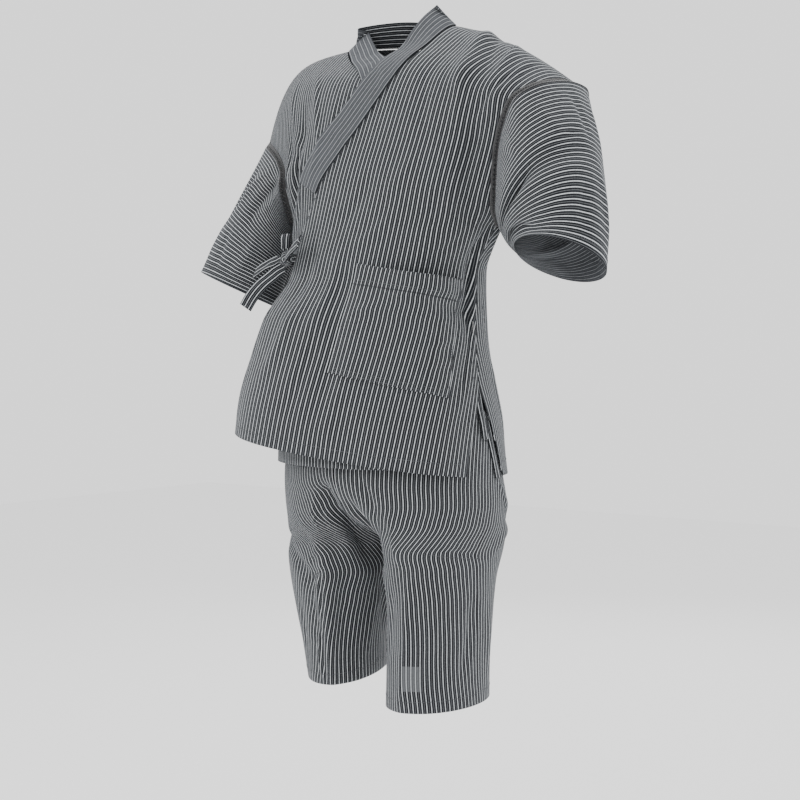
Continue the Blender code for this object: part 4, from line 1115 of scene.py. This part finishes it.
def cloth_piece(name, surface, columns, rows, wall, materials, flip=False, turn=False, cut=None):
    """A fine grid on a surface of (0..1, 0..1), thickened, with its inner side's own material."""
    u, v = np.meshgrid(np.linspace(0, 1, columns + 1), np.linspace(0, 1, rows + 1))
    points = surface(u.ravel(), v.ravel()).reshape(rows + 1, columns + 1, 3)
    across, along = flat_cut(points)
    if cut:
        across, along = cut(u, v, across, along)
    if turn:
        across, along = along, across
    mesh = mesh_of(
        name,
        points.reshape(-1, 3),
        grid_faces(columns, rows, flip),
        np.stack([across.ravel(), along.ravel()], -1),
    )
    for used in materials:
        mesh.materials.append(used)
    made = bpy.data.objects.new(name, mesh)
    thicken(made, wall, len(materials) > 1)
    return made


def thicken(made, wall, lined):
    shell = made.modifiers.new("wall", "SOLIDIFY")
    shell.thickness = wall
    shell.offset = 0.0
    shell.use_even_offset = False
    if lined:
        shell.material_offset = 1


def stitches(name, rows, material):
    """Rows of short stitches as small bars. Each row is a surface, places on it and a lift."""
    sewing = bpy.context.scene.jinbei_sewing
    pitch = sewing.stitch_length + sewing.stitch_gap
    ends, ups = [], []
    for surface, places, lift in rows:
        share = np.linspace(0, 1, 300)
        knots = np.linspace(0, 1, len(places))
        path_u = np.interp(share, knots, [place[0] for place in places])
        path_v = np.interp(share, knots, [place[1] for place in places])
        line = surface(path_u, path_v)
        run = np.concatenate([[0], np.cumsum(np.linalg.norm(np.diff(line, axis=0), axis=1))])
        starts = np.arange(0.0015, run[-1] - pitch, pitch)
        pair = []
        for reach_along in (0.0, sewing.stitch_length):
            at = np.interp(starts + reach_along, run, share)
            u, v = np.interp(at, share, path_u), np.interp(at, share, path_v)
            up = surface_normals(surface, u, v, 0.002) * np.sign(lift)
            pair.append(surface(u, v) + up * abs(lift))
        ends.append(np.stack(pair, 1))
        ups.append(up)
    ends, ups = np.concatenate(ends), np.concatenate(ups)
    along = ends[:, 1] - ends[:, 0]
    along /= np.linalg.norm(along, axis=1, keepdims=True)
    side = np.cross(along, ups) * sewing.stitch_width / 2
    high = ups * 0.00022
    count = len(ends)
    points, cuts = [], []
    for end, offset in ((0, 0.0), (1, sewing.stitch_length)):
        for sway, rise in ((-1, -0.6), (1, -0.6), (0.6, 1), (-0.6, 1)):
            points.append(ends[:, end] + side * sway + high * rise)
            cuts.append(np.stack([np.full(count, sway * 0.0003), np.full(count, offset)], -1))
    corner = np.arange(count)
    quads = ((0, 1, 5, 4), (1, 2, 6, 5), (2, 3, 7, 6), (3, 0, 4, 7), (3, 2, 1, 0), (4, 5, 6, 7))
    faces = np.concatenate([np.stack([corner + k * count for k in quad], -1) for quad in quads])
    mesh = mesh_of(name, np.concatenate(points), faces, np.concatenate(cuts))
    mesh.materials.append(material)
    mesh.shade_flat()
    return bpy.data.objects.new(name, mesh)


def body_row(v):
    return station_of_row(v * ROW_COUNTS[-1])


def reach_lengths(t_rows):
    """Arc lengths across the plain body from the centre line, for each row's station."""
    places = np.linspace(-1, 1, 121)
    points = plain_body(places[None, :], t_rows[:, None])
    run = np.zeros((len(t_rows), len(places)))
    run[:, 1:] = np.cumsum(np.linalg.norm(np.diff(points, axis=1), axis=2), axis=1)
    middle = run[:, len(places) // 2]
    return places, run - middle[:, None]


def body_cut(side, lean):
    """Metres on the cut of a body half. The front below the shoulder leans off the grain."""

    def cut(u, v, across, along):
        t = body_row(v[:, 0])
        edge, far = reach(side + "_edge", t), reach(side + "_side", t)
        places, run = reach_lengths(t)
        p = edge[:, None] + (far - edge)[:, None] * u
        straight = np.stack([np.interp(row, places, one) for row, one in zip(p, run)])
        ridge = np.interp(RIDGE, t, along[:, 0])
        below = np.minimum(along - ridge, 0.0)
        return straight - math.tan(math.radians(lean)) * below * 1.0, along

    return cut


def make_body():
    outer = cloth_material("cloth_outside", GROUND, STRIPE)
    inner = cloth_material("cloth_inside", INNER_GROUND, INNER_STRIPE)
    made = []
    for side, surface, flip, lean in (("left", left_at, False, 10.0), ("right", right_at, True, 0.0)):
        piece = cloth_piece(
            "jacket_half_" + side,
            lambda u, v, surface=surface: surface(u, body_row(v)),
            72,
            210,
            WALL,
            (outer, inner),
            flip=flip,
            cut=body_cut(side, lean),
        )
        made.append(place_piece(piece, ["body_" + side]))
    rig.sheet(made[0], flat=(0.330, 1.340), held="draped", rests_on=["jacket_half_right"], area=0.355)
    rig.sheet(made[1], flat=(0.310, 1.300), held="draped", area=0.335)
    return made


def make_collar():
    outer = cloth_material(
        "collar_outside", GROUND, STRIPE, [((0.0012, 0.0009), (0, 0), 0.9, SEAM_DARK)]
    )
    inner = cloth_material("collar_inside", INNER_GROUND, INNER_STRIPE)
    piece = cloth_piece("collar_band", collar_at, 12, 260, COLLAR_WALL, (outer, inner))
    place_piece(piece, ["collar"])
    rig.sheet(piece, flat=(0.043, 0.930), held="draped", rests_on=["jacket_half_left", "jacket_half_right"])


def make_sleeves():
    for side in ("left", "right"):
        outer = cloth_material("sleeve_outside_" + side, GROUND, STRIPE, pitch_share=0.82)
        inner = cloth_material(
            "sleeve_inside_" + side,
            INNER_GROUND,
            INNER_STRIPE,
            [((SLEEVE_CUT[side], 0.0130), (0, 0), 0.85, (0.030, 0.033, 0.038, 1.0))],
            pitch_share=0.82,
        )
        piece = cloth_piece(
            "sleeve_cloth_" + side,
            lambda u, v, side=side: sleeve_at(side, 0.0006 + 0.9988 * u, v),
            112,
            56,
            WALL,
            (outer, inner),
            flip=side == "left",
            turn=True,
        )
        place_piece(piece, ["sleeve_" + side])
        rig.sheet(piece, flat=(0.450, 0.235), held="hung", rests_on=["lace_braid_" + side])


SLEEVE_CUT = {"left": 0.205, "right": 0.205}


def make_lace():
    black = thread_material("lace_black", LACE_BLACK, 0.0012)
    for side in ("left", "right"):
        loop = armhole(side, np.linspace(0, 1, 201))
        length = float(np.linalg.norm(np.diff(loop, axis=0), axis=1).sum())
        count = int(length / 0.0042)

        def lace_at(u, v, side=side):
            w = 0.0005 + 0.9990 * u
            way = lace_direction(side, w)
            return armhole(side, w) + way * (LACE_CLEAR + (LACE_WIDTH + 0.0020) * v)[:, None]

        a = np.arange(count) / count
        b = a + 1 / count
        rail, wide = 0.26, 0.30 / count
        strips = (
            (a, b, b, a, 0.0, rail),
            (a, b, b, a, 1 - rail, 1.0),
            (a, a + wide, b, b - wide, rail, 1 - rail),
            (b - wide, b, a + wide, a, rail, 1 - rail),
        )
        u = np.concatenate([np.concatenate(strip[:4]) for strip in strips])
        v = np.concatenate(
            [np.concatenate([np.full(2 * count, strip[4]), np.full(2 * count, strip[5])]) for strip in strips]
        )
        corner = np.arange(count)
        faces = np.concatenate(
            [np.stack([corner + (4 * s + k) * count for k in range(4)], -1) for s in range(4)]
        )
        cuts = np.stack([v * LACE_WIDTH, u * length], -1)
        mesh = mesh_of("lace_braid_" + side, lace_at(u, v), faces, cuts)
        mesh.materials.append(black)
        work = bmesh.new()
        work.from_mesh(mesh)
        bmesh.ops.remove_doubles(work, verts=work.verts, dist=0.00002)
        work.to_mesh(mesh)
        work.free()
        piece = bpy.data.objects.new("lace_braid_" + side, mesh)
        thicken(piece, LACE_WALL, False)
        place_piece(piece, [f"lace_{side}_front", f"lace_{side}_back"])
        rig.sheet(
            piece,
            flat=(0.012, length),
            held="hung",
            rests_on=["jacket_half_" + side],
            area=0.84 * 0.012 * length,
        )


def make_pocket():
    marks = [
        ((0.0, 0.0), (POCKET_HEIGHT - 0.022, 0.0007), 0.7, SEAM_DARK),
        ((0.0016, 0.0010), (0, 0), 0.6, SEAM_DARK),
        ((POCKET_WIDTH - 0.0016, 0.0010), (0, 0), 0.6, SEAM_DARK),
        ((0, 0), (0.0016, 0.0010), 0.6, SEAM_DARK),
    ]
    outer = cloth_material("pocket_outside", GROUND, STRIPE, marks)
    inner = cloth_material("pocket_inside", INNER_GROUND, INNER_STRIPE)
    piece = cloth_piece("pocket_cloth", pocket_at, 48, 52, WALL, (outer, inner))
    place_piece(piece, ["pocket"])
    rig.sheet(
        piece, flat=(POCKET_WIDTH, POCKET_HEIGHT), held="laid", rests_on=["jacket_half_left"]
    )


def make_shorts():
    patch = ((0.145, 0.013), (0.054, 0.016), 0.30, PALE_PATCH)
    for side in ("left", "right"):
        top = len(SHORTS_ROWS[side]) - 1
        marks = [((SIDE_SEAM[side], 0.0010), (0, 0), 0.8, SEAM_DARK)]
        if side == "left":
            marks.append(patch)
        outer = cloth_material("shorts_outside_" + side, GROUND, STRIPE, marks)
        inner = cloth_material(
            "shorts_inside_" + side,
            INNER_GROUND,
            INNER_STRIPE,
            [((0, 0), (0.0, 0.0130), 0.85, (0.030, 0.033, 0.038, 1.0))],
        )
        piece = cloth_piece(
            "shorts_half_" + side,
            lambda u, v, side=side, top=top: shorts_at(side, u, v * top),
            112,
            104,
            WALL,
            (outer, inner),
            flip=side == "right",
        )
        place_piece(piece, ["shorts_" + side])
        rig.sheet(piece, flat=(0.560, 0.560), held="hung", rests_on=["waistband_casing"], area=0.27)


SIDE_SEAM = {"left": 0.25, "right": 0.25}


def make_waistband():
    top = len(SHORTS_ROWS["left"]) - 1

    def band(u, v):
        """The casing runs once round from the centre back, gathered in small waves."""
        turn = 0.0008 + 0.9984 * u
        left = turn >= 0.5
        points = np.where(
            left[:, None],
            plain_shorts("left", np.where(left, 2 * turn - 1, 0.5), np.full_like(turn, top)),
            plain_shorts("right", np.where(left, 0.5, 1 - 2 * turn), np.full_like(turn, top)),
        )
        wave = 0.0009 * np.sin(2 * np.pi * 64 * turn + 1.3 * np.sin(9 * turn)) * np.sin(np.pi * v) ** 0.5
        way = points * (1.0, 1.0, 0.0)
        way /= np.linalg.norm(way, axis=1, keepdims=True)
        points = points + way * wave[:, None]
        points[:, 2] += WALL / 2 + SEAM_GAP + v * WAISTBAND_HEIGHT
        return points

    outer = cloth_material("waistband_outside", GROUND, STRIPE)
    piece = cloth_piece("waistband_casing", band, 640, 10, WALL, (outer,))
    place_piece(piece, ["waistband"])
    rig.sheet(piece, flat=(0.760, 0.030), held="gathered")


def make_ties():
    outer = cloth_material("tie_cloth", GROUND, STRIPE)
    for name, (route, width_direction, width) in TIES.items():
        route = np.array(route)
        direction = np.array(width_direction) / np.linalg.norm(width_direction)

        def ribbon(u, v, route=route, direction=direction, width=width):
            at = v * (len(route) - 1)
            middle = np.stack([steady(route[:, k], at) for k in range(3)], -1)
            ahead = np.stack([steady(route[:, k], at + 0.05) for k in range(3)], -1)
            behind = np.stack([steady(route[:, k], at - 0.05) for k in range(3)], -1)
            run = ahead - behind
            run /= np.maximum(np.linalg.norm(run, axis=1, keepdims=True), 1e-9)
            lift = np.cross(run, np.broadcast_to(direction, run.shape))
            pinch = 1 - 0.35 * np.exp(-((v / 0.12) ** 2)) if name.startswith("tie_tail") else 1.0
            crown = 0.0009 * np.cos(np.pi * (u - 0.5)) + 0.0004 * np.sin(9 * v + 6 * u)
            across = (u - 0.5) * width * pinch
            return middle + direction * across[:, None] + lift * crown[:, None]

        piece = cloth_piece(name + "_cloth", ribbon, 8, 16 * (len(route) - 1), TIE_WALL, (outer,))
        place_piece(piece, [name])
        run = float(np.linalg.norm(np.diff(ribbon(np.full(200, 0.5), np.linspace(0, 1, 200)), axis=0), axis=1).sum())
        extra = {}
        if name == "tie_loop_side":
            extra["with_pieces"] = [make_knot(outer)]
        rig.sheet(
            piece,
            flat=(max(width, 0.0101), max(run, 0.0101)),
            held="hung" if name.startswith("inner") else "folded",
            **extra,
        )


def make_knot(material):
    """The knot: three turns of the tie wound round its middle, each a crowned band."""

    def wrap(u, v):
        angle = 2 * np.pi * u
        polar = np.pi * (0.04 + 0.92 * v)
        groove = 1 - 0.10 * np.abs(np.sin(1.5 * np.pi * v + 0.5 * np.sin(angle))) ** 6
        pleat = 1 + 0.05 * np.sin(3 * angle + 4 * v)
        size = np.array(KNOT_RADII)
        ball = np.stack([np.sin(polar) * np.cos(angle), np.sin(polar) * np.sin(angle), np.cos(polar)], -1)
        return np.array(KNOT_MIDDLE) + ball * size * (groove * pleat)[:, None]

    piece = cloth_piece("tie_knot_cloth", wrap, 48, 32, 0.0012, (material,))
    return place_piece(piece, ["tie_knot"])


def make_stitching():
    grey = thread_material("thread_grey", THREAD_GREY, 0.0010)
    white = thread_material("thread_white", THREAD_WHITE, 0.0010)
    over = WALL / 2 + 0.0002

    def half(surface):
        return lambda u, v: surface(u, body_row(v))

    left, right = half(left_at), half(right_at)
    hem, slit = 0.011, 0.17
    rows = [
        (left, [(0.03, hem), (0.5, hem), (0.97, hem)], over),
        (left, [(0.03, 1 - hem), (0.97, 1 - hem)], over),
        (right, [(0.03, hem), (0.5, hem), (0.97, hem)], -over),
        (right, [(0.03, 1 - hem), (0.97, 1 - hem)], -over),
        (left, [(0.965, hem), (0.965, 0.10)], over),
        (right, [(0.965, hem), (0.965, 0.10)], -over),
        (left, [(0.018, 0.02), (0.010, 0.30)], over),
    ]
    inset = 0.018
    rows += [
        (pocket_at, [(0.5, 0.86), (0.02, 0.86)], -over),
        (pocket_at, [(0.02, 0.86), (0.98, 0.86)], over),
        (pocket_at, [(inset, 0.97), (inset, inset), (1 - inset, inset), (1 - inset, 0.97)], over),
        (pocket_at, [(0.04, 0.055), (0.96, 0.055)], over),
    ]
    rows.pop(7)
    for side, sign in (("left", -1), ("right", 1)):
        sleeve = lambda u, v, side=side: sleeve_at(side, u, v)
        rows.append((sleeve, [(0.01, 0.945), (0.25, 0.945), (0.5, 0.945), (0.75, 0.945), (0.99, 0.945)], sign * over))
    piece = stitches("jacket_stitching", rows, grey)
    place_piece(piece, [], "body_left")
    rows = []
    for side, sign in (("left", 1), ("right", -1)):
        leg = lambda u, v, side=side: shorts_at(side, u, v * 8)
        ring = [(x, 0.040) for x in (0.01, 0.25, 0.5, 0.75, 0.99)]
        rows.append((leg, ring, sign * over))
        rows.append((leg, [(0.255, 0.515), (0.48, 0.475)], sign * over))
    place_piece(stitches("shorts_stitching", rows, grey), [], "shorts_left")
    bar = [(left, [(0.985, v), (0.985, v + 0.010)], over + 0.0001 * k) for k, v in ((0, 0.105), (1, 0.106))]
    place_piece(stitches("slit_bartack", bar, white), [], "body_left")


def make_stage():
    stage = bpy.context.scene.jinbei_stage
    pale, shader = new_material("floor_paper")
    shader.inputs["Base Color"].default_value = (0.93, 0.93, 0.93, 1.0)
    shader.inputs["Roughness"].default_value = 0.9
    floor_mesh = bpy.data.meshes.new("floor")
    work = bmesh.new()
    bmesh.ops.create_grid(work, x_segments=2, y_segments=2, size=6.0)
    work.to_mesh(floor_mesh)
    work.free()
    floor_mesh.materials.append(pale)
    floor = bpy.data.objects.new("floor", floor_mesh)
    floor.location = (0.0, 0.0, stage.floor_height)
    bpy.context.scene.collection.objects.link(floor)
    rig.stage(floor)
    azimuth, elevation = stage.azimuth, stage.elevation
    target = Vector((0.005 * math.cos(azimuth), 0.005 * math.sin(azimuth), -0.53))
    back = Vector(
        (
            math.sin(azimuth) * math.cos(elevation),
            -math.cos(azimuth) * math.cos(elevation),
            math.sin(elevation),
        )
    )
    camera = bpy.data.objects.new("camera", bpy.data.cameras.new("camera"))
    bpy.context.scene.collection.objects.link(camera)
    camera.location = target + back * stage.distance
    camera.rotation_euler = back.to_track_quat("Z", "Y").to_euler()
    camera.data.sensor_width = 36
    camera.data.lens = stage.lens
    bpy.context.scene.camera = camera
    for name, place, power, size in (
        ("key", (-1.6, -3.2, 1.9), stage.key_power, 2.2),
        ("near_fill", (3.4, -1.6, 0.8), stage.key_power * 0.55, 2.4),
        ("top", (0.2, 0.4, 2.6), stage.key_power * 0.45, 2.4),
        ("rear", (-1.5, 3.2, 0.8), stage.key_power * 0.35, 2.0),
    ):
        lamp = bpy.data.objects.new(name, bpy.data.lights.new(name, "AREA"))
        lamp.data.energy = power
        lamp.data.size = size
        lamp.location = place
        aim = Vector(place) - Vector((0, 0, -0.45))
        lamp.rotation_euler = aim.to_track_quat("Z", "Y").to_euler()
        bpy.context.scene.collection.objects.link(lamp)
    world = bpy.data.worlds.new("studio")
    world.use_nodes = True
    world.node_tree.nodes["Background"].inputs["Color"].default_value = (1, 1, 1, 1)
    world.node_tree.nodes["Background"].inputs["Strength"].default_value = stage.world_strength
    bpy.context.scene.world = world


class ClothSettings(bpy.types.PropertyGroup):
    stripe_pitch: FloatProperty(
        name="Stripe Pitch", description="From one stripe to the next",
        default=0.0064, min=0.002, max=0.05, unit="LENGTH", precision=4)
    stripe_width: FloatProperty(
        name="Stripe Width", description="Width of a pale stripe",
        default=0.0007, min=0.0003, max=0.02, unit="LENGTH", precision=4)
    thread_pitch: FloatProperty(
        name="Thread Pitch", description="From one thread of the weave to the next",
        default=0.0008, min=0.0003, max=0.01, unit="LENGTH", precision=4)
    crinkle: FloatProperty(
        name="Crinkle", description="How strong the cloth's small puckers are",
        default=1.0, min=0.0, max=3.0, subtype="FACTOR")
    sheen: FloatProperty(
        name="Sheen", description="Soft light of the nap at grazing angles",
        default=0.12, min=0.0, max=1.0, subtype="FACTOR")


class SewingSettings(bpy.types.PropertyGroup):
    stitch_length: FloatProperty(
        name="Stitch Length", description="Length of one stitch",
        default=0.0026, min=0.0008, max=0.01, unit="LENGTH", precision=4)
    stitch_gap: FloatProperty(
        name="Stitch Gap", description="Cloth between two stitches",
        default=0.0009, min=0.0002, max=0.01, unit="LENGTH", precision=4)
    stitch_width: FloatProperty(
        name="Thread Width", description="Width of the sewing thread",
        default=0.0006, min=0.0002, max=0.003, unit="LENGTH", precision=4)


class StageSettings(bpy.types.PropertyGroup):
    distance: FloatProperty(
        name="Camera Distance", description="From the camera to the middle of the set",
        default=3.0, min=0.5, max=20.0, unit="LENGTH")
    azimuth: FloatProperty(
        name="Azimuth", description="How far the camera stands round to the left side of the set",
        default=math.radians(38), subtype="ANGLE")
    elevation: FloatProperty(
        name="Elevation", description="Height of the camera above the horizon",
        default=math.radians(3), subtype="ANGLE")
    lens: FloatProperty(
        name="Lens", description="Focal length in millimetres", default=94.5, min=10.0, max=300.0)
    key_power: FloatProperty(
        name="Key Light", description="Power of the main light", default=70.0, unit="POWER")
    world_strength: FloatProperty(
        name="Surround", description="Strength of the white surround",
        default=1.5, min=0.0, max=3.0, subtype="FACTOR")
    floor_height: FloatProperty(
        name="Floor Height", description="Height of the floor under the shoulders",
        default=-1.42, unit="LENGTH")


def operator(identifier, label, doc, job):
    """Makes the operator class of one piece or group of pieces."""

    def execute(self, context):
        job()
        return {"FINISHED"}

    body = {"__doc__": doc, "bl_idname": "jinbei." + identifier, "bl_label": label, "execute": execute}
    body["bl_options"] = {"REGISTER", "UNDO"}
    return type("JINBEI_OT_" + identifier, (bpy.types.Operator,), body)


OPERATORS = (
    operator("body", "Add Jacket Body", "Add the two body halves of the jacket", make_body),
    operator("collar", "Add Collar", "Add the collar band", make_collar),
    operator("lace", "Add Lace", "Add the openwork braid at both armholes", make_lace),
    operator("sleeves", "Add Sleeves", "Add the two sleeves", make_sleeves),
    operator("pocket", "Add Pocket", "Add the patch pocket", make_pocket),
    operator("ties", "Add Ties", "Add the bow and the inner ties", make_ties),
    operator("waistband", "Add Waistband", "Add the gathered casing of the shorts", make_waistband),
    operator("shorts", "Add Shorts", "Add the two halves of the shorts", make_shorts),
    operator("stitching", "Add Stitching", "Add the rows of stitches and the bartack", make_stitching),
    operator("stage", "Add Stage", "Add the floor, the lights and the camera", make_stage),
)


class JINBEI_PT_panel(bpy.types.Panel):
    """Lists the settings and the pieces of the set"""

    bl_idname = "JINBEI_PT_panel"
    bl_label = "Jinbei Set"
    bl_space_type = "VIEW_3D"
    bl_region_type = "UI"
    bl_category = "Jinbei"

    def draw(self, context):
        for group in ("jinbei_cloth", "jinbei_sewing", "jinbei_stage"):
            settings = getattr(context.scene, group)
            box = self.layout.box()
            for name in settings.bl_rna.properties.keys():
                if name not in ("rna_type", "name"):
                    box.prop(settings, name)
        for made in OPERATORS:
            self.layout.operator(made.bl_idname)


CLASSES = (ClothSettings, SewingSettings, StageSettings, JINBEI_PT_panel) + OPERATORS


def register():
    for made in CLASSES:
        bpy.utils.register_class(made)
    bpy.types.Scene.jinbei_cloth = PointerProperty(type=ClothSettings)
    bpy.types.Scene.jinbei_sewing = PointerProperty(type=SewingSettings)
    bpy.types.Scene.jinbei_stage = PointerProperty(type=StageSettings)


def unregister():
    del bpy.types.Scene.jinbei_cloth
    del bpy.types.Scene.jinbei_sewing
    del bpy.types.Scene.jinbei_stage
    for made in reversed(CLASSES):
        bpy.utils.unregister_class(made)


def main():
    register()
    for made in OPERATORS:
        getattr(bpy.ops.jinbei, made.bl_idname.split(".")[1])()
    low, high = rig.bounds()
    with open("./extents.json", "w") as out:
        json.dump({"low": list(low), "high": list(high)}, out)


if __name__ == "__main__":
    main()
